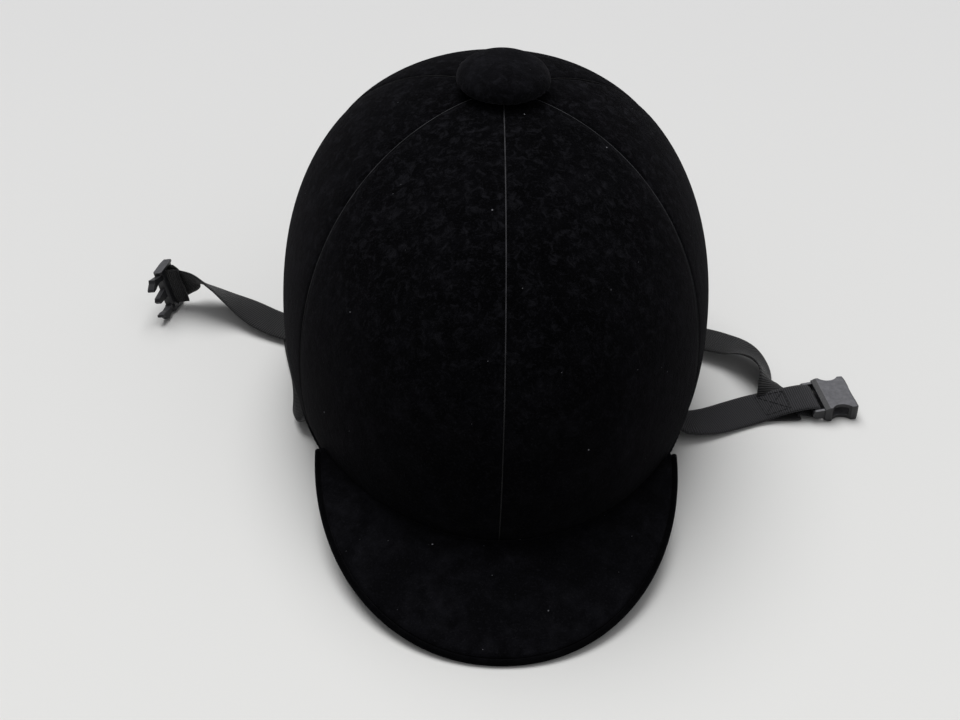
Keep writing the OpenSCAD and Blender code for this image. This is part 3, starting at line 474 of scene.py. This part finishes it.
def gore(name, first, last):
    """One gore between two seams: it rounds over into each seam, and its cloth is 0.75 mm thick."""
    cols, low = 49, 3.1
    rows = crown_rows(low, 0, 16, 46, 86.5)
    share = (1 - np.cos(np.pi * np.linspace(0, 1, cols))) / 2
    angles = np.radians(first + (last - first) * share)
    plain = crown_grid(angles, rows, low, (0, 0, 0))
    across = np.linalg.norm(plain[:, -1] - plain[:, 0], axis=1)
    outer, inner = np.zeros_like(plain), np.zeros_like(plain)
    for j, (part, z) in enumerate(rows):
        near = np.minimum(share, 1 - share) * across[j]
        dip = 0.55 * np.exp(-(near / 1.3) ** 2) + 0.25 * np.exp(-(near / 5) ** 2) - 0.15
        dip = dip - 0.3 * np.array([wander(p, 45, first) for p in plain[j]])
        dip[0] = dip[-1] = 0.8
        hem = 0.5 * math.exp(-(j / 1.6) ** 2)
        row = [(part, z)]
        outer[j] = crown_grid(angles, row, low, (dip + hem,) * 3)[0]
        inner[j] = crown_grid(angles, row, low, (dip + hem + 0.75,) * 3)[0]
    piece = finish_with(cloth_panel(name + "_cloth", outer, inner, "helmet"), VELVET)
    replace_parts(piece, name)
    return piece


# Angles of the seams round the crown, from the front seam over the wearer's left side
SEAMS = [-90, -20, 30, 90, 150, 203, 270]
for gore_name, seam_a, seam_b in zip(("front_left", "side_left", "rear_left", "rear_right", "side_right",
                                      "front_right"), SEAMS[:-1], SEAMS[1:]):
    gore("gore_" + gore_name, seam_a, seam_b)


def seam_thread(name, angle, radius, material):
    """The line of stitches and parted pile at the bottom of a seam."""
    rows = crown_rows(3.3, 0, 14, 60, 85)
    line = crown_grid(np.radians([angle]), rows, 3.3, (0.55, 0.55, 0.55))[:, 0]
    out = crown_grid(np.radians([angle]), rows, 3.3, (-2, -2, -2))[:, 0] - line
    rings = []
    for k, p in enumerate(line):
        t = unit(line[min(k + 1, len(line) - 1)] - line[max(k - 1, 0)])
        n = unit(out[k])
        side = unit(np.cross(t, n))
        n = np.cross(side, t)
        rings.append([p + radius * (side * math.cos(q) + n * math.sin(q))
                      for q in np.linspace(0, 2 * math.pi, 9)[:-1]])
    return finish_with(tube(name, rings, "helmet"), material)


for k, seam in enumerate(SEAMS[:-1]):
    seam_thread(f"seam_{k}", seam, 0.27 if k == 0 else 0.2, LINT_AND_LIGHT_THREAD if k in (0, 1, 5) else DARK_THREAD)


# ---- Button: velvet gathered over a moulded core ----

def button():
    r_out, mid, high = 21.7, 4.2, 14.8
    outer = [(14 + (r_out - 14) * math.cos(a), mid + mid * math.sin(a))
             for a in np.radians(np.linspace(-88, 0, 12))]
    outer += [(r_out * max(0.0, math.cos(a)) ** 0.85, mid + (high - mid) * math.sin(a) ** 0.95)
              for a in np.radians(np.linspace(6, 90, 22))]
    inner = [(max(0.0, r - 0.8) if r > 6 else r, z - 0.8 if z > mid else max(z, 0.9)) for r, z in reversed(outer)]
    centre = (0, BUTTON_BACK + CROWN_Y, CROWN_H + RIM_H + 0.3)
    piece = lathe("button_cover", outer + inner, centre, "helmet", 120)
    weld(piece)
    # The cloth is gathered underneath: small pleats that fade out over the button's widest line
    for v in piece.data.vertices:
        x, y, z = v.co.x / MM - centre[0], v.co.y / MM - centre[1], v.co.z / MM - centre[2]
        a, r = math.atan2(y, x), math.hypot(x, y)
        pleat = 0.28 * math.sin(34 * a + 2 * math.sin(3 * a)) * (1 - smoothstep((z - 1.0) / 4.5)) * (r > 12)
        sag = 0.25 * wander((x, y, z), 9, 4.2)
        v.co.x += (pleat + sag) * math.cos(a) * MM
        v.co.y += (pleat + sag) * math.sin(a) * MM
    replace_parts(piece, "button_velvet")
    return finish_with(piece, LIT_BUTTON_VELVET)


button()

# ---- Peak: velvet above, twill below, and velvet piping round its edge ----

PEAK_Q, PEAK_HALF_W, PEAK_TIP, CORNER_Y, CORNER_Z = 2.09, 84.1, 192.0, 73.1, 22.2
PIPING_R = 1.5


def edge_pt(t):
    """The piping's middle at angle t, from the right corner (-90) over the tip (0) to the left corner (90)."""
    t = math.radians(t)
    d, w = abs(math.cos(t)) ** (2 / PEAK_Q), math.copysign(abs(math.sin(t)) ** (2 / PEAK_Q), math.sin(t))
    tip_z = PIPING_R * math.sin(math.radians(60))
    return np.array([(PEAK_HALF_W - PIPING_R) * w, -CORNER_Y + (PIPING_R - PEAK_TIP + CORNER_Y) * d + CROWN_Y,
                     CORNER_Z + (tip_z - CORNER_Z) * d])


def edge_out(t):
    along = edge_pt(t + 0.5) - edge_pt(t - 0.5)
    return unit([along[1], -along[0], 0])


def peak_pt(t, v, depth):
    """A point of the peak: v runs from the crown to the edge, depth lies below the upper side."""
    root = crown(math.radians(-90 + 58 * t / 90), 12 - depth[0], (-0.3, -0.3, -0.3))
    edge = edge_pt(t) - edge_out(t) * (PIPING_R * 0.9)
    upper = 22 + (edge_pt(t)[2] + PIPING_R * 0.85 - 22) * v + 3 * 4 * v * (1 - v) * math.cos(math.radians(t))
    p = root + (edge - root) * v
    return np.array([p[0], p[1], upper - (depth[0] + (depth[1] - depth[0]) * v)])


def peak_sheet(name, top, low, material, node, fill=0.0):
    """A cloth of the peak between two depths, each given at the crown and at the edge."""
    turns = np.linspace(-88.5, 88.5, 121)
    ways = np.linspace(0, 1, 25)
    lifted = np.array([[peak_pt(t, v, top) + [0, 0, fill * (0.18 * wander((60 * v, t, 3), 14)
                        - 0.3 * math.exp(-(v / 0.03) ** 2))] for t in turns] for v in ways])
    under = np.array([[peak_pt(t, v, low) for t in turns] for v in ways])
    piece = finish_with(cloth_panel(name, lifted, under, "helmet"), material)
    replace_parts(piece, node)
    return piece


peak_sheet("peak_cover", (0, 0), (0.9, 0.6), LIT_PEAK_VELVET, "peak_velvet", 1.0)
peak_sheet("peak_underside", (4.2, 1.9), (4.9, 2.5), TWILL, "peak_lining")


def round_section(t, radius, sides=14):
    out = edge_out(t)
    return [edge_pt(t) + radius * (out * math.cos(q) + np.array([0, 0, 1]) * math.sin(q))
            for q in np.linspace(0, 2 * math.pi, sides + 1)[:-1]]


piping = tube("peak_welt", [round_section(t, PIPING_R) for t in np.linspace(-88.5, 88.5, 181)], "helmet")
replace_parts(finish_with(piping, TRIM_VELVET), "peak_piping")

# ---- Rim binding: a velvet strip folded round the lower edges ----

binding_profile = [(0.9, 0.0), (0.15, 0.2), (-0.35, 0.8), (-0.55, 1.6), (-0.5, 2.5), (-0.2, 3.1), (0.4, 3.35),
                   (1.2, 3.3), (2.4, 3.1), (3.4, 3.0), (3.65, 2.2), (3.55, 1.0), (3.2, 0.3), (2.4, 0.0)]
binding = []
for th in np.radians(np.linspace(-90, 270, 241)[:-1]):
    ripple = 0.12 * wander((40 * math.cos(th), 40 * math.sin(th), 0), 3.5)
    binding.append([crown(th, rim_z(th) + z, (d + ripple,) * 3) for d, z in binding_profile])
rim = finish_with(tube("rim_strip", binding, "helmet", closed=True), TRIM_VELVET)
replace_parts(rim, "rim_binding")


def stitches(name, line, outs, length, gap, width, material, body, lift=0.0):
    """Short raised stitches along a line of points; outs points away from the cloth at each."""
    line, outs = np.asarray(line, float), np.asarray(outs, float)
    steps = np.linalg.norm(np.diff(line, axis=0), axis=1)
    dist = np.concatenate([[0], np.cumsum(steps)])
    points, faces = [], []

    def at(d):
        return (np.array([np.interp(d, dist, line[:, k]) for k in range(3)]),
                unit([np.interp(d, dist, outs[:, k]) for k in range(3)]))

    d = gap / 2
    while d + length < dist[-1]:
        for s in range(5):
            p, n = at(d + length * s / 4)
            q, _ = at(d + length * s / 4 + 0.05)
            t = unit(q - p)
            side = unit(np.cross(t, n))
            arch = math.sin(math.pi * (0.12 + 0.76 * s / 4))
            half = width / 2 * (0.45 + 0.55 * arch)
            middle = p + n * (lift + width * 0.35 * arch - width * 0.2)
            for a in np.linspace(0, 2 * math.pi, 7)[:-1]:
                points.append(middle + half * (side * math.cos(a) + n * math.sin(a)))
        base = len(points) - 30
        for s in range(4):
            for c in range(6):
                e = (c + 1) % 6
                faces.append((base + s * 6 + c, base + s * 6 + e, base + (s + 1) * 6 + e, base + (s + 1) * 6 + c))
        faces += [tuple(base + c for c in range(6)), tuple(base + 24 + c for c in reversed(range(6)))]
        d += length + gap
    return finish_with(outward(show(name, points, faces, body)), material)


ring = np.radians(np.linspace(-90, 270, 361))
stitches("binding_stitches", crown_grid(ring, [(0, None)], 2.3, (-0.5, -0.5, -0.5))[0],
         crown_grid(ring, [(0, None)], 2.3, (-5, -5, -5))[0] - crown_grid(ring, [(0, None)], 2.3, (-0.5,) * 3)[0],
         2.4, 1.1, 0.42, THREAD, "helmet")

# ---- Inside: lining over the foam, headband and crown cushion ----

LINING_IN = np.array([21.7, 28.7, 24.7])


def lining():
    """The lining covers the foam's inside and turns out under its lower edge to the binding."""
    around = np.radians(np.linspace(-90, 270, 145)[:-1])
    rows = crown_rows(3.4, LINING_IN[2], 8, 30, 89.6)
    grid = [crown_grid(around, [(0, None)], 3.2, (d, d, d))[0] for d in np.linspace(6.4, 20.6, 8)]
    grid += list(crown_grid(around, rows, 3.4, tuple(LINING_IN)))
    grid = np.array(grid)
    # Soft puckers between the glued lines
    for j in range(2, len(grid) - 1):
        for i, p in enumerate(grid[j]):
            grid[j, i, :2] *= 1 + 0.0016 * wander(p, 16, 7.7) * min(1, j / 8)
    rows_n, cols = grid.shape[:2]
    piece = show("lining_cloth", grid.reshape(-1, 3), grid_faces(rows_n, cols, closed=True), "helmet")
    thick = piece.modifiers.new("cloth", "SOLIDIFY")
    thick.thickness, thick.offset = 0.0007, 1.0
    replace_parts(piece, "lining")
    return finish_with(piece, LINING)


lining()


def puffed(piece, voxel, cap, pressure=4.0):
    """Swells a closed cloth form with Blender's Cloth, as stuffing does, and keeps each point near its place."""
    remesh = piece.modifiers.new("remesh", "REMESH")
    remesh.mode, remesh.voxel_size = "VOXEL", voxel
    bake(piece)
    start = np.array([v.co[:] for v in piece.data.vertices])
    cloth = piece.modifiers.new("cloth", "CLOTH")
    cloth.settings.use_pressure = True
    cloth.settings.uniform_pressure_force = pressure
    cloth.settings.effector_weights.gravity = 0
    cloth.settings.quality = 5
    cloth.point_cache.frame_start, cloth.point_cache.frame_end = 1, 20
    for f in range(1, 21):
        bpy.context.scene.frame_set(f)
    bake(piece)
    end = np.array([v.co[:] for v in piece.data.vertices])
    move = end - start
    far = np.linalg.norm(move, axis=1, keepdims=True)
    end = start + move * np.minimum(1, cap / np.maximum(far, 1e-9))
    piece.data.vertices.foreach_set("co", end.ravel())
    bpy.context.scene.frame_set(1)
    return piece


def bake(piece):
    """Applies all modifiers of a piece to its mesh."""
    graph = bpy.context.evaluated_depsgraph_get()
    mesh = bpy.data.meshes.new_from_object(piece.evaluated_get(graph))
    piece.modifiers.clear()
    piece.data = mesh
    mesh.polygons.foreach_set("use_smooth", [True] * len(mesh.polygons))
    return piece


def headband():
    """Padded band round the opening, swelling inward between its sewn edges."""
    out, into = LINING_IN + 0.3, LINING_IN + 0.3 + [4.2, 5.2, 0]
    section = [(0, 0.03), (0.35, 0.0), (0.8, 0.1), (1, 0.35), (1, 0.6), (0.8, 0.88), (0.35, 1.0), (0, 0.97)]
    rings = []
    for th in np.radians(np.linspace(-90, 270, 181)[:-1]):
        foot, high = rim_z(th) + 4.2, 4 + 35.5
        rings.append([crown(th, foot + (high - foot) * b, tuple(out + (into - out) * a)) for a, b in section])
    piece = tube("headband_pad", rings, None, closed=True)
    puffed(piece, 0.004, 0.0012, 3.0)
    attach(piece, "helmet")
    smooth = piece.modifiers.new("smooth", "SUBSURF")
    smooth.levels = smooth.render_levels = 1
    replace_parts(piece, "headband")
    return finish_with(piece, PADDING)


headband()


def cushion():
    """Round crown cushion in four quarters, with sewn channels that cross in its middle."""
    pad_r, centre_y = 45.0, BUTTON_BACK + CROWN_Y
    top = LINING_IN + 0.4

    def roof(x, y):
        u = min(1.0, math.hypot(x / (HALF_W - top[0]), y / (REAR - top[1])))
        return RIM_H + WIDEST + (CROWN_H - top[2] - WIDEST) * (1 - u ** 2.11) ** (1 / 2.38) - 1.4

    upper, lower = [], []
    radii = np.linspace(1, 0.02, 22)
    for f in radii:
        ring_up, ring_low = [], []
        for a in np.radians(np.linspace(0, 360, 97)[:-1]):
            x, y = pad_r * f * math.cos(a), pad_r * f * math.sin(a)
            z = roof(x, y)
            edge = max(0.0, 1 - f ** 5) ** 0.5
            channel = 1 - 0.62 * math.exp(-(pad_r * f * abs(math.sin(2 * a)) / 2 / 3.2) ** 2)
            pucker = 1 + 0.06 * wander((x, y, 0), 7, 1.3)
            ring_up.append((x, y + centre_y, z))
            ring_low.append((x, y + centre_y, z - 0.8 - 6.6 * edge * channel * pucker))
        upper.append(ring_up)
        lower.append(ring_low)
    rings = list(reversed(upper)) + lower
    piece = tube("crown_pad", rings, None)
    puffed(piece, 0.004, 0.0012)
    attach(piece, "helmet")
    smooth = piece.modifiers.new("smooth", "SUBSURF")
    smooth.levels = smooth.render_levels = 1
    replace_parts(piece, "crown_cushion")
    return finish_with(piece, PADDING)


cushion()

# ---- Webbing ----


def route(stations, steps):
    """A smooth way through stations, each with any number of values."""
    st = np.asarray(stations, float)
    out = []
    for i in range(len(st) - 1):
        a, b, c, d = st[max(i - 1, 0)], st[i], st[i + 1], st[min(i + 2, len(st) - 1)]
        for s in range(steps):
            f = s / steps
            out.append(0.5 * (2 * b + (c - a) * f + (2 * a - 5 * b + 4 * c - d) * f * f
                              + (3 * b - a - 3 * c + d) * f ** 3))
    out.append(st[-1])
    return np.array(out)


def laid(stations, steps=8):
    """Points and width directions of webbing that lies through stations x, y, z, roll, skew."""
    way = route(stations, steps)
    points, across = way[:, :3], []
    for i, w in enumerate(way):
        t = unit(points[min(i + 1, len(way) - 1)] - points[max(i - 1, 0)])
        side = unit(np.cross([0, 0, 1], t))
        up = np.cross(t, side)
        roll, skew = math.radians(w[3]), math.radians(w[4])
        rolled = side * math.cos(roll) + up * math.sin(roll)
        across.append(rolled * math.cos(skew) + t * math.sin(skew))
    return list(points), across


def tab_way(side, y, th):
    """The webbing inside the shell, from above its rivet down to the rim."""
    inset = (5.3, 5.3, 5.3)
    length = FRONT if th < 0 else REAR
    turn = HALF_W * (math.sin(th) * (1 + 0.093 * math.sin(th)) - 0.093 * math.cos(th) ** 2)
    face = math.atan2(turn, length * math.cos(th))
    points, across = [], []
    for z in np.linspace(34, 3, 15):
        p = crown(th, z, inset)
        points.append(np.array([side * p[0], p[1], p[2]]))
        across.append(np.array([side * -math.sin(face), math.cos(face), 0]) * side)
    return points, across


def webbing(name, points, across, material, width=WEB_W, thick=WEB_T, upside=1.0):
    """Flat webbing along points: a section with rounded edges, and a map along its length and width."""
    cols = 15
    u = np.linspace(-1, 1, cols)
    edge = np.sqrt(np.clip(1 - np.abs(u) ** 16, 0, 1)) * 0.85 + 0.15
    section = [(a, b) for a, b in zip(u, edge)] + [(a, -b) for a, b in zip(reversed(u), reversed(edge))]
    rings, dist = [], [0.0]
    for i, p in enumerate(points):
        t = unit(points[min(i + 1, len(points) - 1)] - points[max(i - 1, 0)])
        a = unit(across[i])
        n = unit(np.cross(t, a)) * upside
        rings.append([p + a * (width / 2 * s) + n * (thick / 2 * h) for s, h in section])
        if i:
            dist.append(dist[-1] + float(np.linalg.norm(p - points[i - 1])))
    rows, n = len(rings), len(section)
    faces = grid_faces(rows, n, closed=True)
    maps = [[(r, c), (r, c + 1), (r + 1, c + 1), (r + 1, c)] for r in range(rows - 1) for c in range(n)]
    faces += [tuple(range(n)), tuple(reversed(range((rows - 1) * n, rows * n)))]
    maps += [[(0, c) for c in range(n)], [(rows - 1, c) for c in reversed(range(n))]]
    piece = show(name, np.array(rings).reshape(-1, 3), faces)
    layer = piece.data.uv_layers.new(name="weave")
    k = 0
    for poly in piece.data.polygons:
        for r, c in maps[poly.index]:
            s = section[c % n][0]
            layer.data[k].uv = (s * width / 2 * MM, dist[r] * MM)
            k += 1
    outward(piece)
    return finish_with(piece, material)


def bridge(points, across, onto, onto_across, steps=8):
    """Carries webbing on from its last point to the first point of the next stretch in one smooth turn."""
    a, b = points[-1], onto[0]
    ta, tb = unit(points[-1] - points[-2]), unit(onto[1] - onto[0])
    reach = np.linalg.norm(b - a) * 1.0
    out, turned = [], []
    for s in range(1, steps):
        f = s / steps
        h = (2 * f ** 3 - 3 * f * f + 1, f ** 3 - 2 * f * f + f, -2 * f ** 3 + 3 * f * f, f ** 3 - f * f)
        out.append(h[0] * a + h[1] * reach * ta + h[2] * b + h[3] * reach * tb)
        turned.append(unit(across[-1] * (1 - f) + onto_across[0] * f))
    return points + out + list(onto), across + turned + list(onto_across)


def socket_at(x, z):
    return SOCKET + np.array([x * math.cos(SOCKET_TURN), x * math.sin(SOCKET_TURN), z])


def ladder_at(x, z):
    return LADDER + LADDER_FWD * x + LADDER_UP * z


def shifted(stations):
    return [[x, y + CROWN_Y, z, roll, skew] for x, y, z, roll, skew in stations]


ANCHOR_ANGLE = {-30: math.asin(-30 / ((FRONT - 1.1) * 0.9937)), 45: math.asin(45 / ((REAR - 1.1) * 0.9937))}

front_left_way = shifted([
    [SWING_X + 3.5, -30, 5.4, 0, 0], [99.4, -29, 4.0, 0, 0], [108.5, -25.5, 2.6, 3, 0], [121, -19.5, 2.2, 5, 0],
    [130, -15.6, 2.4, 5, 0], [139.2, -12.9, 3.6, 2, 0], [148.3, -11.5, 5.6, 0, 0]])
rear_left_way = shifted([
    [SWING_X + 3.5, 45, 6.2, 0, 0], [98.5, 43.9, 5.4, 0, 0], [109.3, 40, 5.6, 0, 0], [119, 35, 6.4, -2, 0],
    [128.5, 28.6, 7.4, -10, 0], [135, 18.5, 8.4, -34, 0], [138.4, 7.2, 8.2, -56, 0], [140.3, 1.2, 5.6, -34, 0],
    [142.2, -4.6, 2.3, -8, 0], [143, -10, 1.05, 0, 0], [143.4, -17, 1.0, 0, 0], [143.7, -21.9, 0.95, 0, 0]])
front_right_way = shifted([
    [-SWING_X + 0.5, -27, 4.6, 0, -60], [-89.2, -17, 2.8, 0, -12], [-89.8, -6, 2.4, 2, 0], [-91.5, 6, 2.2, 2, 0],
    [-94, 18, 2.0, 2, 0], [-96.3, 30, 1.7, 1, 0], [-98.2, 41.5, 1.1, 0, 0]])
chin_right_way = shifted([
    [-SWING_X - 3.5, 45, 5.0, 0, 0], [-97, 45.1, 3.9, 0, 0], [-104.8, 46.2, 3.3, -2, 0], [-117.3, 52.6, 4, 0, 0],
    [-129, 60.6, 6, 10, 0], [-140.3, 66.1, 9.8, 26, 0], [-149.2, 69.3, 13.6, 38, 0]])
chin_right_way += [[*ladder_at(-LOOP, -14), 50, 0], [*ladder_at(-LOOP, -8), 72, 0], [*ladder_at(-LOOP, -4), 90, 0]]
front_left_way += [[*socket_at(-4, LOOP), 0, 0], [*socket_at(-0.6, LOOP), 0, 0]]


def strap(name, tab, way, side, y, end, replaced, material):
    """One strap from its rivet in the shell over the rim and out: it bends where it leaves the rim."""
    points, across = tab_way(side, y, ANCHOR_ANGLE[y])
    out_points, out_across = laid(way)
    if np.dot(across[-1], out_across[0]) < 0:
        across = [-a for a in across]
    points, across = bridge(points, across, out_points, out_across)
    if end is not None:
        points, across = points + end[0], across + end[1]
    piece = webbing(name, points, across, material)
    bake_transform(piece)
    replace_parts(piece, tab, replaced)
    return piece


def socket_turn():
    """Round the socket's bar, then back below the strap to where it is sewn."""
    side = np.array([-math.sin(SOCKET_TURN), math.cos(SOCKET_TURN), 0])
    points = [socket_at(LOOP * math.cos(a), LOOP * math.sin(a)) for a in np.radians(np.linspace(75, -90, 12))]
    points += [socket_at(x, z) for x, z in ((-1.6, -2.5), (-3.4, -2.0), (-5.4, -1.2), (-7.6, -0.6), (-9.6, -0.4))]
    return points, [side] * len(points)


def ladder_turn():
    """Round the ladder's bar, and back past its far side to a short tail."""
    points = [ladder_at(-LOOP * math.cos(a), LOOP * math.sin(a)) for a in np.radians(np.linspace(8, 180, 13))]
    points += [ladder_at(LOOP, z) for z in (-1.5, -4, -6.5, -9)]
    return points, [LADDER_BAR] * len(points)


def facing(turned, stations):
    """Width directions of a turn, on the same side as the strap that leads into it."""
    _, across = laid(stations)
    points, sides = turned
    return points, [s * math.copysign(1, np.dot(s, across[-1])) for s in sides]


strap("front_strap_left_web", "front_tab_left", front_left_way, 1, -30,
      facing(socket_turn(), front_left_way), "front_strap_left", WEBBING)
strap("rear_strap_left_web", "rear_tab_left", rear_left_way, 1, 45, None, "rear_strap_left",
      SHADED_WEBBING)
strap("front_strap_right_web", "front_tab_right", front_right_way, -1, -30, None, "front_strap_right",
      SHADED_WEBBING)
strap("chin_strap_right_web", "rear_tab_right", chin_right_way, -1, 45,
      facing(ladder_turn(), chin_right_way), "chin_strap_right", SHADED_WEBBING)


def sewn_join(name, way, corners, body):
    """Stitching that holds the rear strap's end below the front strap: a square crossed from corner to corner."""
    points, across = laid(way)
    line, outs = [], []
    for (u0, v0), (u1, v1) in zip(corners[:-1], corners[1:]):
        for f in np.linspace(0, 1, 14)[:-1]:
            u, v = u0 + (u1 - u0) * f, v0 + (v1 - v0) * f
            i = min(int(u), len(points) - 2)
            p, a = points[i] + (points[i + 1] - points[i]) * (u - i), unit(across[i])
            n = unit(np.cross(unit(points[i + 1] - points[i]), a))
            n = n * math.copysign(1, n[2])
            line.append(p + a * v + n * (WEB_T / 2 + 0.12))
            outs.append(n)
    stitches(name, line, outs, 2.2, 0.7, 0.45, THREAD, body)


sewn_join("left_join_stitches", front_left_way,
          [(35.5, -7), (47, -7), (47, 7), (35.5, 7), (35.5, -7), (47, 7), (47, -7), (35.5, 7)], "left_harness")

# ---- Hard pieces keep their frame solids and get their finish ----

for hard, finish in (("shell", SHELL_ABS), ("button_core", BUTTON_ABS), ("button_screw", ZINC),
                     ("button_washer", ZINC), ("peak_core", PEAK_RUBBER), ("foam_liner", FOAM),
                     ("strap_rivets", NICKEL), ("rivet_washers", NICKEL), ("buckle_socket", ACETAL),
                     ("buckle_prong_half", ACETAL), ("upper_prong", ACETAL), ("lower_prong", ACETAL)):
    repaint(hard, finish)

# ---- Floor, light and camera ----


def floor():
    """A plain pale table top that fills the picture. Its colour fades from the back to the front: painted shade,
    darker at the back, for the light that falls off there.
    """
    piece = show("floor", [(-3000, -3000, -0.3), (3000, -3000, -0.3), (3000, 3000, -0.3), (-3000, 3000, -0.3)],
                 [(0, 1, 2, 3)], smooth=False)
    material, tree, shader, where = blank("pale_table", 0.9, 1.45, Specular_IOR_Level=0.1)
    # Painted shade: the table's colour darkens towards the back
    far = add(tree, RANGE, {0: add(tree, PARTS, {0: where}, 1), 1: -0.35, 2: 0.75})
    colour = add(tree, MIX, {0: far, 6: linear("#e9e9e7"), 7: linear("#dcdcdc")}, 2, data_type="RGBA")
    tree.links.new(colour, shader.inputs["Base Color"])
    finish_with(piece, material)


floor()


def sky_lamp(name, place, spread, strength, tone="#ffffff"):
    """Even light from one side of the studio, as a wide diffuser far away gives it."""
    light = bpy.data.lights.new(name, "SUN")
    light.angle, light.energy, light.color = math.radians(spread), strength, linear(tone)[:3]
    holder = bpy.data.objects.new(name, light)
    bpy.context.scene.collection.objects.link(holder)
    holder.location = place
    holder.rotation_euler = (-Vector(place)).to_track_quat("-Z", "Y").to_euler()


sky_lamp("key_diffuser", (-0.3, 0.9, 2.0), 50, 2.35)
sky_lamp("front_fill", (0.5, -0.8, 1.8), 80, 0.35)

world = bpy.data.worlds.new("studio")
world.use_nodes = True
room = world.node_tree.nodes["Background"]
room.inputs[0].default_value = linear("#e8e8ea")
# The camera sees the room as pale as the table; its light on the hat stays low
seen = add(world.node_tree, "ShaderNodeLightPath", out="Is Camera Ray")
level = add(world.node_tree, RANGE, {0: seen, 3: 0.25, 4: 0.92})
world.node_tree.links.new(level, room.inputs[1])
bpy.context.scene.world = world

AIM = Vector((0, CROWN_Y, 70)) * MM
ELEVATION, AZIMUTH, DISTANCE = math.radians(33.72), math.radians(-2.42), 879.7 * MM
camera = bpy.data.cameras.new("camera")
camera.lens, camera.sensor_width = 68.31, 36.0
camera.clip_start, camera.clip_end = 0.01, 20.0
viewer = bpy.data.objects.new("camera", camera)
bpy.context.scene.collection.objects.link(viewer)
back = Vector((math.sin(AZIMUTH) * math.cos(ELEVATION), -math.cos(AZIMUTH) * math.cos(ELEVATION),
               math.sin(ELEVATION)))
viewer.location = AIM + back * DISTANCE
# The picture's middle lies a little below and left of the point aimed at, and the picture leans a little
lean = Euler([math.radians(v) for v in (-2.675, 0.527, 2.325)])
viewer.rotation_mode = "QUATERNION"
viewer.rotation_quaternion = (-back).to_track_quat("-Z", "Y") @ lean.to_quaternion()
bpy.context.scene.camera = viewer
bpy.context.scene.view_settings.view_transform = "Standard"
